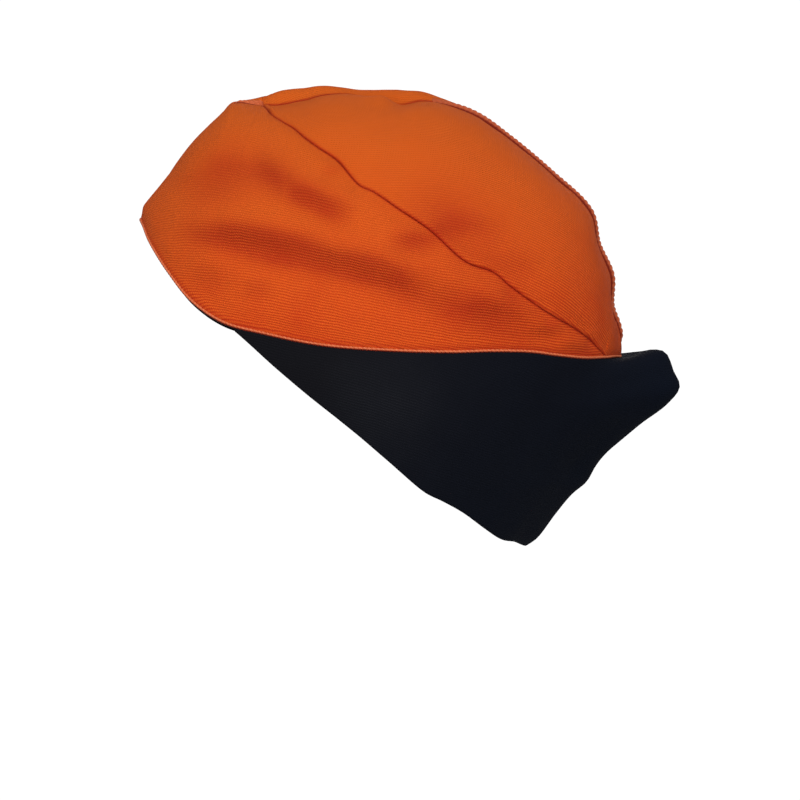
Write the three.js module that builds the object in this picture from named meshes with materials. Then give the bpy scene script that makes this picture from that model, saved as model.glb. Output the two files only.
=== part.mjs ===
// Welding cap: a soft crown of four twill panels on a rolled rim, with a black flap of doubled
// cloth that hangs from the rim, from temple to temple, over the ears and the nape.
// Millimetres, +Z up, the brow towards -Y and the wearer's left towards +X.
// The origin is the middle of the head opening, halfway between its brow point and its nape point.

import * as THREE from "three";
import { mergeVertices } from "three/addons/utils/BufferGeometryUtils.js";

// Driving dimensions of the crown
const rimLength = 213; // brow point to nape point, front to back
const rimWidth = 161; // widest breadth of the rim, over the ears
const browRise = 30.4; // brow point above the middle of the opening
const napeDrop = 30.4; // nape point below it
const crownHeight = 86; // top of the centre seam above it
const crownWall = 1.6; // outer twill and its turned-in back together
const sectionPower = 2.2; // 2 is an ellipse across the crown, more is squarer
const sidePuff = 2.2; // how far the side panels belly out
const topPuff = 7; // how far the fullness beside the centre seam stands over it
const puffRise = 8; // how far from the centre seam it is full
const puffNear = 12; // how far from the seam it begins to fall again
const puffFar = 55; // how far from the seam it has gone
const seamDepth = 1.1; // how far the cloth is drawn in along a seam
const seamReach = 4.5; // how far from the seam the cloth is drawn in
const rimHold = 8; // the rolled edge holds the cloth flat up to this height
const foldDepth = 2; // how far the cloth stands out over the deepest fold and sinks in under it
const foldWidth = 10; // half width of the widest fold
const foldHold = 9; // the seams hold the folds flat up to this distance
const creaseShare = 0.3; // how straight the brow seam's two sides run to their crease
const apexAt = 0.215; // share of the middle line where the brow seam comes over the top
const apexBlend = 0.03; // share before the apex over which its crease turns into a seam
const apexSoft = 0.06; // share over which the apex's bend is evened out lower down
const apexGrip = 3; // above 1 keeps the bend sharp close to the middle line alone
const bellySoft = 0.06; // share over which the side's bulge follows the seam's start
const bellyTop = 0.5; // the side bulges fully where the side seam is this far up
const archOverChord = 1.15; // cloth from the rim to the middle line, to the straight distance

// Driving dimensions of the edge, the band and the seam welt
const edgeThickness = 2.3; // across the rolled edge
const edgeHeight = 1.8; // up and down the rolled edge
const bandThickness = 1.2;
const bandHeight = 7.5; // band inside the rim
const bandLean = 1; // how much further in its head stands than its foot
const bandShow = 1.3; // how far the band shows below the rolled edge
const weltWidth = 4.2; // raised welt on the right of the centre seam
const weltHeight = 2;

// Driving dimensions of the flap
const flapWall = 2; // doubled cloth
const flapStart = 0.318; // where the flap starts at the temple, share of the half rim
const flapDrop = 85; // lowest point of the hem below the nape point
const hemInset = 42.6; // that point in front of the nape point
const tailReach = 26.6; // tail fold behind the nape point
const tailDrop = 13.3; // tail fold below the nape point
const tailSpread = 55; // how far to each side of the middle the tail fold dies out
const tailRound = 6; // how round the fold along the middle is
const tailFade = 1.6; // above 1 draws the fold's sides in like a ship's bow
const flapSwell = 3; // how far the flap bellies out over the ear
const hemTip = 2; // depth of the flap where it starts at the temple

// Clearances between pieces that meet
const seamGap = 0.3;
const bandGap = 0.6; // from the rolled edge to the band inside it
const weltGap = 0.45; // from the panel to the welt on it, which bridges the panel's facets

// How finely the surfaces are cut
const frontSteps = 9; // along a side panel, from the brow to the apex
const crestSteps = 3; // from the apex to the start of the side seam
const seamSteps = 22; // along the side seam
const backSteps = 6; // along a top panel, from the seam's foot to the nape
const seamCrowding = 1.5; // above 1 sets the steps closer where the side seam starts
const upSteps = 11;
const flapSteps = 22;
const flapDownSteps = 13;
const middleCrowding = 1.35; // above 1 sets the flap's steps closer towards its middle fold
const loopSteps = 72;
const probe = 0.004; // share over which slopes are taken
const meanPlaces = 7; // places that a soft mean takes
const halvings = 30; // rounds of halving in a search
const weldReach = 1e-4; // corners closer than this are one corner

// The rim from the brow round the left side to the nape: along in shares of rimLength,
// breadth of half rimWidth, height of browRise above the origin and of napeDrop below it
const rimRows = [
  { along: -0.5, breadth: 0, height: 1 },
  { along: -0.49, breadth: 0.15, height: 0.91 },
  { along: -0.472, breadth: 0.325, height: 0.7 },
  { along: -0.428, breadth: 0.56, height: 0.3 },
  { along: -0.378, breadth: 0.72, height: -0.08 },
  { along: -0.312, breadth: 0.845, height: -0.36 },
  { along: -0.23, breadth: 0.93, height: -0.5 },
  { along: -0.116, breadth: 0.98, height: -0.65 },
  { along: 0.016, breadth: 1, height: -0.72 },
  { along: 0.14, breadth: 0.97, height: -0.75 },
  { along: 0.226, breadth: 0.9, height: -0.75 },
  { along: 0.301, breadth: 0.807, height: -0.78 },
  { along: 0.351, breadth: 0.72, height: -0.84 },
  { along: 0.411, breadth: 0.57, height: -0.91 },
  { along: 0.458, breadth: 0.385, height: -0.94 },
  { along: 0.482, breadth: 0.224, height: -0.96 },
  { along: 0.5, breadth: 0, height: -1 },
];

// The middle line over the top, between the brow point and the nape point: along in shares of
// rimLength, height of crownHeight above the origin and of napeDrop below it
const middleRows = [
  { along: -0.458, height: 0.518 },
  { along: -0.375, height: 0.766 },
  { along: -0.3375, height: 0.874 },
  { along: -0.308, height: 0.946 },
  { along: -0.296, height: 0.95 },
  { along: -0.244, height: 0.932 },
  { along: -0.159, height: 0.953 },
  { along: -0.08, height: 0.985 },
  { along: 0.042, height: 0.965 },
  { along: 0.124, height: 0.945 },
  { along: 0.2, height: 0.88 },
  { along: 0.269, height: 0.762 },
  { along: 0.353, height: 0.597 },
  { along: 0.434, height: 0.395 },
  { along: 0.455, height: 0.22 },
  { along: 0.476, height: 0.06 },
  { along: 0.479, height: -0.28 },
  { along: 0.493, height: -0.56 },
  { along: 0.498, height: -0.8 },
];

// The side seam between a side panel and a top panel, from the middle line to the rim:
// at is the share along rim and middle line, up the share of the way from rim to middle line
const seamRows = [
  { at: 0.256, up: 1 },
  { at: 0.262, up: 0.93 },
  { at: 0.275, up: 0.811 },
  { at: 0.292, up: 0.737 },
  { at: 0.315, up: 0.672 },
  { at: 0.336, up: 0.611 },
  { at: 0.36, up: 0.562 },
  { at: 0.395, up: 0.509 },
  { at: 0.43, up: 0.435 },
  { at: 0.456, up: 0.413 },
  { at: 0.498, up: 0.363 },
  { at: 0.548, up: 0.312 },
  { at: 0.593, up: 0.258 },
  { at: 0.613, up: 0.243 },
  { at: 0.652, up: 0.235 },
  { at: 0.682, up: 0.203 },
  { at: 0.737, up: 0.155 },
  { at: 0.766, up: 0.14 },
  { at: 0.812, up: 0.122 },
  { at: 0.855, up: 0.089 },
  { at: 0.9, up: 0 },
];

// Fullness beside the centre seam, left and right, shares of topPuff
const puffRows = [
  { at: 0.22, left: 0.1, right: 0.3 },
  { at: 0.256, left: 0.1, right: 0.85 },
  { at: 0.29, left: 0.2, right: 1.2 },
  { at: 0.34, left: 0.3, right: 1.1 },
  { at: 0.39, left: 0.5, right: 0.75 },
  { at: 0.435, left: 0.7, right: 0.75 },
  { at: 0.48, left: 0.6, right: 0.7 },
  { at: 0.58, left: 0.12, right: 0.35 },
  { at: 0.7, left: 0.05, right: 0.3 },
  { at: 0.8, left: 0.05, right: 0.3 },
  { at: 0.92, left: 0.05, right: 0.5 },
  { at: 1, left: 0, right: 0 },
];

// Folds seen from the side: the shaded line under each, along in shares of rimLength and height of
// crownHeight, bow lifts its middle, width and depth in shares of foldWidth and foldDepth, right
// is how strongly the right side has the same fold
const foldRows = [
  { fromY: -0.42, fromZ: 0.321, toY: -0.158, toZ: 0.221, bow: 0.02, width: 0.5, depth: 0.65, right: 0.7 },
  { fromY: -0.319, fromZ: 0.309, toY: 0.04, toZ: 0.082, bow: 0, width: 0.55, depth: 1.1, right: 0.8 },
  { fromY: -0.089, fromZ: 0.197, toY: 0.371, toZ: -0.217, bow: 0.01, width: 0.65, depth: 0.75, right: 0.6 },
  { fromY: 0.162, fromZ: -0.018, toY: 0.319, toZ: -0.092, bow: 0, width: 0.5, depth: 0.3, right: 0.5 },
  { fromY: -0.25, fromZ: 0.735, toY: -0.123, toZ: 0.444, bow: -0.03, width: 0.55, depth: 0.5, right: 0.6 },
  { fromY: -0.187, fromZ: 0.521, toY: -0.036, toZ: 0.41, bow: -0.01, width: 0.42, depth: 0.75, right: 0.5 },
  { fromY: -0.425, fromZ: 0.531, toY: -0.21, toZ: 0.666, bow: 0.03, width: 0.9, depth: 0.65, right: 0.6 },
  { fromY: 0.004, fromZ: 0.285, toY: 0.131, toZ: 0.318, bow: -0.01, width: 0.42, depth: 0.65, right: 0.4 },
  { fromY: 0.036, fromZ: 0.56, toY: 0.344, toZ: 0.087, bow: 0.03, width: 0.95, depth: 0.45, right: 0.5 },
  { fromY: 0.083, fromZ: 0.357, toY: 0.203, toZ: 0.311, bow: 0, width: 0.5, depth: 0.45, right: 0.4 },
];
const foldTaper = 0.7; // below 1 keeps a fold deep for more of its length

// The flap's hem from the temple to its lowest point: along in shares of the way back,
// drop of the way down, breadth of half rimWidth
const hemRows = [
  { along: 0, breadth: 0.876, drop: 0 },
  { along: 0.065, breadth: 0.907, drop: 0.07 },
  { along: 0.13, breadth: 0.932, drop: 0.14 },
  { along: 0.26, breadth: 0.98, drop: 0.275 },
  { along: 0.39, breadth: 1, drop: 0.405 },
  { along: 0.516, breadth: 0.975, drop: 0.54 },
  { along: 0.642, breadth: 0.894, drop: 0.68 },
  { along: 0.7, breadth: 0.832, drop: 0.722 },
  { along: 0.7725, breadth: 0.733, drop: 0.781 },
  { along: 0.854, breadth: 0.584, drop: 0.868 },
  { along: 0.91, breadth: 0.422, drop: 0.929 },
  { along: 0.961, breadth: 0.224, drop: 0.96 },
  { along: 1, breadth: 0, drop: 1 },
];

// The flap's middle line from the nape point to the tail fold, shares of tailReach and tailDrop
const tailRows = [
  { out: 0, down: 0 },
  { out: 0.19, down: -0.02 },
  { out: 0.48, down: -0.2 },
  { out: 0.72, down: -0.15 },
  { out: 0.81, down: 0.12 },
  { out: 0.88, down: 0.5 },
  { out: 0.97, down: 0.82 },
];

// The same line from the tail fold straight down to the hem: down in shares of the way,
// proud off the straight line in shares of tailReach
const keelRows = [
  { down: 0.015, proud: 0.02 },
  { down: 0.1, proud: 0.05 },
  { down: 0.25, proud: -0.015 },
  { down: 0.43, proud: -0.1 },
  { down: 0.52, proud: -0.08 },
  { down: 0.6, proud: 0.015 },
  { down: 0.68, proud: -0.02 },
  { down: 0.8, proud: 0.02 },
  { down: 0.93, proud: 0.06 },
  { down: 1, proud: 0 },
];

// Small tools for curves and tables

function smoothCurve(points, closed) {
  const curve = new THREE.CatmullRomCurve3(points, closed, "centripetal");
  curve.arcLengthDivisions = 1200;
  return curve;
}

function evenSteps(from, to, count) {
  return Array.from({ length: count + 1 }, (_, i) => from + ((to - from) * i) / count);
}

function clamp01(value) {
  return Math.min(1, Math.max(0, value));
}

// Value of a table's column between its rows, a cubic whose slopes come from the rows around
function columnAt(rows, key, at) {
  const next = rows.findIndex((row) => row.at >= at);
  if (next <= 0) {
    return next === 0 ? rows[0][key] : rows[rows.length - 1][key];
  }
  const slope = (i) => {
    const before = rows[Math.max(0, i - 1)];
    const after = rows[Math.min(rows.length - 1, i + 1)];
    return (after[key] - before[key]) / (after.at - before.at);
  };
  const low = rows[next - 1];
  const high = rows[next];
  const span = high.at - low.at;
  const t = (at - low.at) / span;
  const rise = t * t * (3 - 2 * t);
  const leave = t * (1 - t) * (1 - t) * span * slope(next - 1);
  const arrive = t * t * (t - 1) * span * slope(next);
  return low[key] + (high[key] - low[key]) * rise + leave + arrive;
}

// Rim and middle line

const signedHeight = (share, above) => share * (share > 0 ? above : napeDrop);

const leftRim = rimRows.map(
  (row) =>
    new THREE.Vector3((row.breadth * rimWidth) / 2, row.along * rimLength, signedHeight(row.height, browRise)),
);
const rightRim = leftRim
  .slice(1, -1)
  .reverse()
  .map((point) => new THREE.Vector3(-point.x, point.y, point.z));
const rimLoop = smoothCurve([...leftRim, ...rightRim], true);

const browPoint = leftRim[0];
const napePoint = leftRim[leftRim.length - 1];
const middleLine = smoothCurve(
  [
    browPoint,
    ...middleRows.map(
      (row) => new THREE.Vector3(0, row.along * rimLength, signedHeight(row.height, crownHeight)),
    ),
    napePoint,
  ],
  false,
);

// The rim's left half runs over the first half of the loop
const rimAt = (at) => rimLoop.getPointAt(clamp01(at) / 2);
const middleAt = (at) => middleLine.getPointAt(clamp01(at));

const creaseEnd = seamRows[0].at;

// The middle line as the cloth below it follows it: its own place at the top, and lower down the
// mean of the places around it
function middleBelow(at, up) {
  const reach = Math.min(apexSoft, at, 1 - at);
  const mean = new THREE.Vector3();
  for (const t of evenSteps(-1, 1, meanPlaces - 1)) {
    mean.addScaledVector(middleAt(at + reach * t), 1 / meanPlaces);
  }
  return mean.lerp(middleAt(at), up ** apexGrip);
}

// The crown's plain form: a section like a flattened arch from the rim to the middle line,
// drawn straighter in front, where the brow seam makes a crease
function crownBase(at, up) {
  const rim = rimAt(at);
  const middle = middleBelow(at, up);
  const angle = (up * Math.PI) / 2;
  const crease = creaseShare * clamp01(1 - at / creaseEnd) ** 2;
  const across = (1 - crease) * Math.cos(angle) ** (2 / sectionPower) + crease * (1 - up);
  const rise = (1 - crease) * Math.sin(angle) ** (2 / sectionPower) + crease * up;
  return new THREE.Vector3(rim.x * across, THREE.MathUtils.lerp(rim.y, middle.y, rise),
    THREE.MathUtils.lerp(rim.z, middle.z, rise));
}

// Outward direction of the plain form, level across the middle line
function crownNormal(at, up) {
  const a0 = THREE.MathUtils.clamp(at - probe, probe, 1 - 3 * probe);
  const a1 = a0 + 2 * probe;
  const u0 = THREE.MathUtils.clamp(up - probe, 0, 1 - 2 * probe);
  const u1 = u0 + 2 * probe;
  const alongway = crownBase(a1, up).sub(crownBase(a0, up));
  const upward = crownBase(at, u1).sub(crownBase(at, u0));
  const normal = alongway.cross(upward).normalize();
  if (up > 1 - probe) {
    normal.x = 0;
  }
  return normal.normalize();
}

// Share of the way up at which the side seam crosses, and at which a side panel ends
function seamUp(at) {
  return at >= seamRows[seamRows.length - 1].at ? 0 : clamp01(columnAt(seamRows, "up", at));
}

function seamTop(at) {
  return at < creaseEnd ? 1 : seamUp(at);
}

// Length of the cloth from the rim to the middle line
function sectionLength(at) {
  const rim = rimAt(at);
  return archOverChord * rim.distanceTo(middleAt(at));
}

// How far the cloth has risen above the rim, and how freely it puffs and folds there
function aboveRim(at, up) {
  const foot = rimAt(at);
  const place = crownBase(at, up);
  return Math.hypot(place.y - foot.y, place.z - foot.z);
}

function freeOfRim(at, up) {
  return THREE.MathUtils.smoothstep(aboveRim(at, up), 0, rimHold);
}

// A bell: 1 at no distance, and a third of it at one width away
function bell(distance, width) {
  return Math.exp(-((distance / width) ** 2));
}

// Height of one fold at a place seen from the side: the cloth stands out above its line and sinks
// in below it
function foldHeight(row, y, z) {
  const fromY = row.fromY * rimLength;
  const fromZ = row.fromZ * crownHeight;
  const runY = row.toY * rimLength - fromY;
  const runZ = row.toZ * crownHeight - fromZ;
  const length = Math.hypot(runY, runZ);
  const t = ((y - fromY) * runY + (z - fromZ) * runZ) / length ** 2;
  if (t <= 0 || t >= 1) {
    return 0;
  }
  const bow = row.bow * crownHeight * 4 * t * (1 - t);
  const off = (((z - fromZ) * runY - (y - fromY) * runZ) / length - bow) / (row.width * foldWidth);
  const fade = Math.sin(Math.PI * t) ** foldTaper;
  return row.depth * foldDepth * fade * off * Math.exp((1 - off * off) / 2);
}

function allFolds(at, up, side) {
  const place = crownBase(at, up);
  let total = 0;
  for (const row of foldRows) {
    total += foldHeight(row, place.y, place.z) * (side > 0 ? 1 : row.right);
  }
  return total;
}

// Fullness beside the centre seam: none on it, most past puffRise, and gone by puffFar
function seamPuff(at, up, side) {
  const full = columnAt(puffRows, side > 0 ? "left" : "right", at) * topPuff;
  const away = (1 - up) * sectionLength(at);
  return full * (1 - bell(away, puffRise)) * (1 - THREE.MathUtils.smoothstep(away, puffNear, puffFar));
}

// Bulge of the side: a sine from the rim up to the side seam's mean height over a stretch
function sideBelly(at, up) {
  let top = 0;
  for (const t of evenSteps(-1, 1, meanPlaces - 1)) {
    top += seamTop(at + bellySoft * t) / meanPlaces;
  }
  const share = top > 0 ? clamp01(up / top) : 1;
  return sidePuff * Math.sin(Math.PI * share) * THREE.MathUtils.smoothstep(top, 0, bellyTop);
}

// Height of a side panel's cloth over the plain form
function sideHeight(at, up, side) {
  const toSeam = (seamTop(at) - up) * sectionLength(at);
  const sewn = THREE.MathUtils.smoothstep(at, apexAt - apexBlend, apexAt);
  const pull = seamDepth * sewn * bell(toSeam, seamReach);
  const slack = THREE.MathUtils.smoothstep(toSeam, 0, foldHold);
  const full = sideBelly(at, up) + sewn * seamPuff(at, up, side);
  return freeOfRim(at, up) * (full + slack * allFolds(at, up, side) - pull);
}

// Height of a top panel's cloth over the plain form
function topHeight(at, up, side) {
  const low = seamUp(at);
  const toSide = (up - low) * sectionLength(at);
  const toCentre = (1 - up) * sectionLength(at);
  const sidePull = low > 0 ? bell(toSide, seamReach) : 0;
  const pull = seamDepth * Math.max(sidePull, bell(toCentre, seamReach));
  const held = THREE.MathUtils.smoothstep(toCentre, 0, 2 * foldHold);
  const slack = THREE.MathUtils.smoothstep(toSide, 0, foldHold) * held;
  const full = sideBelly(at, up) + seamPuff(at, up, side);
  return freeOfRim(at, up) * (full + slack * allFolds(at, up, side) - pull);
}

// Building closed bodies

function bodyFromTriangles(positions) {
  const loose = new THREE.BufferGeometry();
  loose.setAttribute("position", new THREE.Float32BufferAttribute(positions, 3));
  const merged = mergeVertices(loose, weldReach);
  const index = merged.index.array;
  const kept = [];
  for (let i = 0; i < index.length; i += 3) {
    const [a, b, c] = [index[i], index[i + 1], index[i + 2]];
    if (a !== b && b !== c && c !== a) {
      kept.push(a, b, c);
    }
  }
  if (signedVolume(merged.attributes.position, kept) < 0) {
    kept.reverse();
  }
  merged.setIndex(kept);
  merged.computeVertexNormals();
  return merged;
}

function signedVolume(position, index) {
  const corners = [new THREE.Vector3(), new THREE.Vector3(), new THREE.Vector3()];
  let sum = 0;
  for (let i = 0; i < index.length; i += 3) {
    corners.forEach((corner, k) => corner.fromBufferAttribute(position, index[i + k]));
    sum += corners[0].dot(corners[1].clone().cross(corners[2])) / 6;
  }
  return sum;
}

function addQuad(positions, a, b, c, d) {
  for (const point of [a, b, c, a, c, d]) {
    positions.push(point.x, point.y, point.z);
  }
}

// A wall of cloth between an outer and an inner grid of points, closed along its four edges
function clothWall({ outer, inner }) {
  const positions = [];
  const rows = outer.length - 1;
  const columns = outer[0].length - 1;
  for (let i = 0; i < rows; i += 1) {
    for (let j = 0; j < columns; j += 1) {
      addQuad(positions, outer[i][j], outer[i + 1][j], outer[i + 1][j + 1], outer[i][j + 1]);
      addQuad(positions, inner[i][j], inner[i][j + 1], inner[i + 1][j + 1], inner[i + 1][j]);
    }
  }
  for (let i = 0; i < rows; i += 1) {
    addQuad(positions, inner[i][0], inner[i + 1][0], outer[i + 1][0], outer[i][0]);
    addQuad(positions, outer[i][columns], outer[i + 1][columns], inner[i + 1][columns], inner[i][columns]);
  }
  for (let j = 0; j < columns; j += 1) {
    addQuad(positions, outer[0][j], outer[0][j + 1], inner[0][j + 1], inner[0][j]);
    addQuad(positions, inner[rows][j], inner[rows][j + 1], outer[rows][j + 1], outer[rows][j]);
  }
  return bodyFromTriangles(positions);
}

// A section carried along a line: rings of points, joined end to end or closed at both ends
function sweptBody(rings, closed) {
  const positions = [];
  const count = rings[0].length;
  const spans = closed ? rings.length : rings.length - 1;
  for (let i = 0; i < spans; i += 1) {
    const here = rings[i];
    const next = rings[(i + 1) % rings.length];
    for (let j = 0; j < count; j += 1) {
      const k = (j + 1) % count;
      addQuad(positions, here[j], next[j], next[k], here[k]);
    }
  }
  if (!closed) {
    const last = rings[rings.length - 1];
    for (let j = 1; j < count - 1; j += 1) {
      addQuad(positions, rings[0][0], rings[0][j], rings[0][j + 1], rings[0][0]);
      addQuad(positions, last[0], last[j + 1], last[j], last[0]);
    }
  }
  return bodyFromTriangles(positions);
}

// Crown panels

// Draws the two outer columns or rows of a grid in by half the gap to the neighbouring panel
function insetRows(grid, amount) {
  const columns = grid[0].length - 1;
  for (const row of grid) {
    const low = row[1].clone().sub(row[0]).setLength(amount);
    const high = row[columns - 1].clone().sub(row[columns]).setLength(amount);
    row[0].add(low);
    row[columns].add(high);
  }
}

// One panel: an outer and an inner grid over shares along and up, raised to the cloth's height
function panelGrids(alongShares, lowUp, highUp, height, side) {
  const outer = [];
  const inner = [];
  for (const at of alongShares) {
    const low = lowUp(at);
    const high = highUp(at);
    const outerRow = [];
    const innerRow = [];
    for (const t of evenSteps(0, 1, upSteps)) {
      const up = low + (high - low) * t;
      const point = crownBase(at, up);
      const normal = crownNormal(at, up);
      const raised = height(at, up, side);
      outerRow.push(point.clone().addScaledVector(normal, raised));
      innerRow.push(point.clone().addScaledVector(normal, raised - crownWall));
    }
    outer.push(outerRow);
    inner.push(innerRow);
  }
  for (const grid of [outer, inner]) {
    insetRows(grid, seamGap / 2);
    for (const point of grid.flat()) {
      point.x = side * Math.max(point.x, seamGap / 2);
    }
  }
  return { outer, inner, alongShares };
}

const rimLift = edgeHeight / 2 + seamGap; // the panels start this far above the rim line
const endMargin = 1.5 * rimLift; // and stop this far along from the brow and nape points
const rimEnd = endMargin / middleLine.getLength();
const pointEnd = 0.002; // share left open where a top panel starts in a point
const footEnd = 0.006; // share left open where a side panel runs out at the seam's foot

// Last share from low to high at which a test still holds, found by halving
function lastShare(low, high, holds) {
  for (let i = 0; i < halvings; i += 1) {
    const middle = (low + high) / 2;
    if (holds(middle)) {
      low = middle;
    } else {
      high = middle;
    }
  }
  return low;
}

// Share of the way up at which the cloth has risen by rimLift
function rimUp(at) {
  return lastShare(0, 1, (up) => aboveRim(at, up) < rimLift);
}

// Where the side seam runs out on the rolled edge, between its last two rows
const [beforeFoot, afterFoot] = seamRows.slice(-2).map((row) => row.at);
const seamFoot = lastShare(beforeFoot, afterFoot, (at) => seamUp(at) > rimUp(at));

// Both panels are cut at the same places along their seam
const seamStart = creaseEnd + pointEnd;
const seamRun = seamFoot - footEnd - seamStart;
const seamStations = evenSteps(0, 1, seamSteps).map((t) => seamStart + seamRun * t ** seamCrowding);

function sideGrids(side) {
  const front = evenSteps(rimEnd, apexAt, frontSteps);
  const crest = evenSteps(apexAt, creaseEnd, crestSteps).slice(1);
  return panelGrids([...front, ...crest, ...seamStations], rimUp, seamTop, sideHeight, side);
}

function topGrids(side) {
  const back = evenSteps(seamFoot, 1 - rimEnd, backSteps);
  const low = (at) => Math.max(rimUp(at), seamUp(at));
  return panelGrids([...seamStations, ...back], low, () => 1, topHeight, side);
}

const sides = { left: sideGrids(1), right: sideGrids(-1) };
const tops = { left: topGrids(1), right: topGrids(-1) };

// Rim frame: outward, upward in the cloth and along, at a share of the whole rim loop

function rimFrame(turn) {
  const side = turn <= 0.5 ? 1 : -1;
  const at = side > 0 ? turn * 2 : (1 - turn) * 2;
  const nearAt = THREE.MathUtils.clamp(at, 2 * probe, 1 - 2 * probe);
  const rim = rimAt(nearAt);
  const middle = middleAt(nearAt);
  const up = new THREE.Vector3(0, middle.y - rim.y, middle.z - rim.z).normalize();
  const along = rimLoop.getTangentAt(turn % 1);
  const out = along.clone().cross(up).normalize();
  up.crossVectors(out, along).normalize();
  return { centre: rimLoop.getPointAt(turn % 1), out, up };
}

function rimSweep(section) {
  const rings = evenSteps(0, 1, loopSteps)
    .slice(0, -1)
    .map((turn) => {
      const frame = rimFrame(turn);
      return section.map(([out, up]) =>
        frame.centre.clone().addScaledVector(frame.out, out).addScaledVector(frame.up, up));
    });
  return sweptBody(rings, true);
}

// The rolled edge ends the wall below: an eight-sided section, a little thicker than the wall
function rolledEdge() {
  const corners = 8;
  const reach = 0.5 / Math.cos(Math.PI / corners);
  const section = Array.from({ length: corners }, (_, i) => {
    const angle = ((i + 0.5) * 2 * Math.PI) / corners;
    return [
      -crownWall / 2 + Math.cos(angle) * reach * edgeThickness,
      Math.sin(angle) * reach * edgeHeight,
    ];
  });
  return rimSweep(section);
}

// The band stands inside the rolled edge and the panels, and shows below the edge in front
function innerBand() {
  const outer = -crownWall / 2 - edgeThickness / 2 - bandGap;
  const inner = outer - bandThickness;
  const foot = -edgeHeight / 2 - bandShow;
  const head = foot + bandHeight;
  return rimSweep([
    [outer, foot],
    [outer, 0],
    [outer - bandLean, head],
    [inner - bandLean, head],
    [inner, 0],
    [inner, foot],
  ]);
}

// The welt: a raised strip that lies on the right panels along the centre seam

// Shares of weltWidth from the seam, and of weltHeight there
const weltRows = [
  { across: 0, height: 0.2 },
  { across: 0.25, height: 0.7 },
  { across: 0.5, height: 1 },
  { across: 0.75, height: 0.7 },
  { across: 1, height: 0.2 },
];

// Point of a panel's row of points at a distance from the middle plane, counted from the seam
function pointAtBreadth(row, breadth) {
  for (let j = row.length - 1; j > 0; j -= 1) {
    const near = Math.abs(row[j].x);
    const far = Math.abs(row[j - 1].x);
    if (far >= breadth) {
      return row[j].clone().lerp(row[j - 1], clamp01((breadth - near) / (far - near)));
    }
  }
  return row[0].clone();
}

function weltRing(at, row) {
  const normal = crownNormal(at, 1);
  const seat = weltRows.map(({ across }) =>
    pointAtBreadth(row, seamGap + across * weltWidth).addScaledVector(normal, weltGap));
  const crest = seat.map((point, i) => point.clone().addScaledVector(normal, weltRows[i].height * weltHeight));
  return [...seat, ...crest.reverse()];
}

function centreWelt() {
  const onSide = sides.right.alongShares
    .map((at, i) => ({ at, row: sides.right.outer[i] }))
    .filter(({ at }) => at > apexAt - pointEnd && at < creaseEnd);
  const onTop = tops.right.alongShares
    .map((at, i) => ({ at, row: tops.right.outer[i] }))
    .filter(({ at, row }) => Math.abs(row[0].x) > weltWidth + seamGap && at < 1 - 2 * rimEnd);
  return sweptBody([...onSide, ...onTop].map(({ at, row }) => weltRing(at, row)), false);
}

// The flap

const hemLow = new THREE.Vector3(0, napePoint.y - hemInset, napePoint.z - flapDrop);

function flapTop(share) {
  const turn = (flapStart + (1 - flapStart) * share) / 2;
  const frame = rimFrame(turn);
  return frame.centre.addScaledVector(frame.up, -edgeHeight / 2 - seamGap);
}

const hemCurve = (() => {
  const start = flapTop(0);
  start.z -= hemTip;
  const points = hemRows.map(
    (row) =>
      new THREE.Vector3(
        (row.breadth * rimWidth) / 2,
        THREE.MathUtils.lerp(start.y, hemLow.y, row.along),
        THREE.MathUtils.lerp(start.z, hemLow.z, row.drop),
      ),
  );
  const mirrored = points
    .slice(0, -1)
    .reverse()
    .map((point) => new THREE.Vector3(-point.x, point.y, point.z));
  return smoothCurve([...points, ...mirrored], false);
})();

// The flap's middle line, out to the tail fold and from there down to the hem
const keelCurve = (() => {
  const start = flapTop(1);
  const tail = new THREE.Vector3(0, napePoint.y + tailReach, napePoint.z - tailDrop);
  const run = hemLow.clone().sub(tail);
  const proud = new THREE.Vector3(0, -run.z, run.y).normalize();
  const over = tailRows.map(
    (row) => new THREE.Vector3(0, start.y + row.out * tailReach, start.z - row.down * tailDrop),
  );
  const down = keelRows.map((row) =>
    tail.clone().addScaledVector(run, row.down).addScaledVector(proud, row.proud * tailReach));
  return smoothCurve([...over, ...down], false);
})();

// A point of the flap: share 0 at the left temple, 1 at the middle, 2 at the right temple.
// Straight from the rim to the hem, pushed out to the tail fold near the middle.
function flapPoint(share, down) {
  const half = share <= 1 ? share : 2 - share;
  const top = flapTop(half);
  const hem = hemCurve.getPointAt(half / 2);
  const point = top.clone().lerp(hem, down);
  const chord = flapTop(1).lerp(hemLow, down);
  const push = keelCurve.getPointAt(down).sub(chord);
  const offMiddle = ((1 - half) * (1 - flapStart) * rimLoop.getLength()) / 2;
  const rounded = Math.hypot(offMiddle, tailRound) - tailRound;
  const fade = clamp01(1 - rounded / tailSpread) ** tailFade;
  point.addScaledVector(push, fade);
  const swell = Math.sin(Math.PI * down) * Math.sin(Math.PI * half) ** 2;
  point.x += flapSwell * swell * (1 - fade);
  point.x *= share <= 1 ? 1 : -1;
  return point;
}

function flapNormal(share, down) {
  const s0 = THREE.MathUtils.clamp(share - probe, 0, 2 - 2 * probe);
  const d0 = THREE.MathUtils.clamp(down - probe, 0, 1 - 2 * probe);
  const along = flapPoint(s0 + 2 * probe, down).sub(flapPoint(s0, down));
  const below = flapPoint(share, d0 + 2 * probe).sub(flapPoint(share, d0));
  return below.cross(along).normalize();
}

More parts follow.
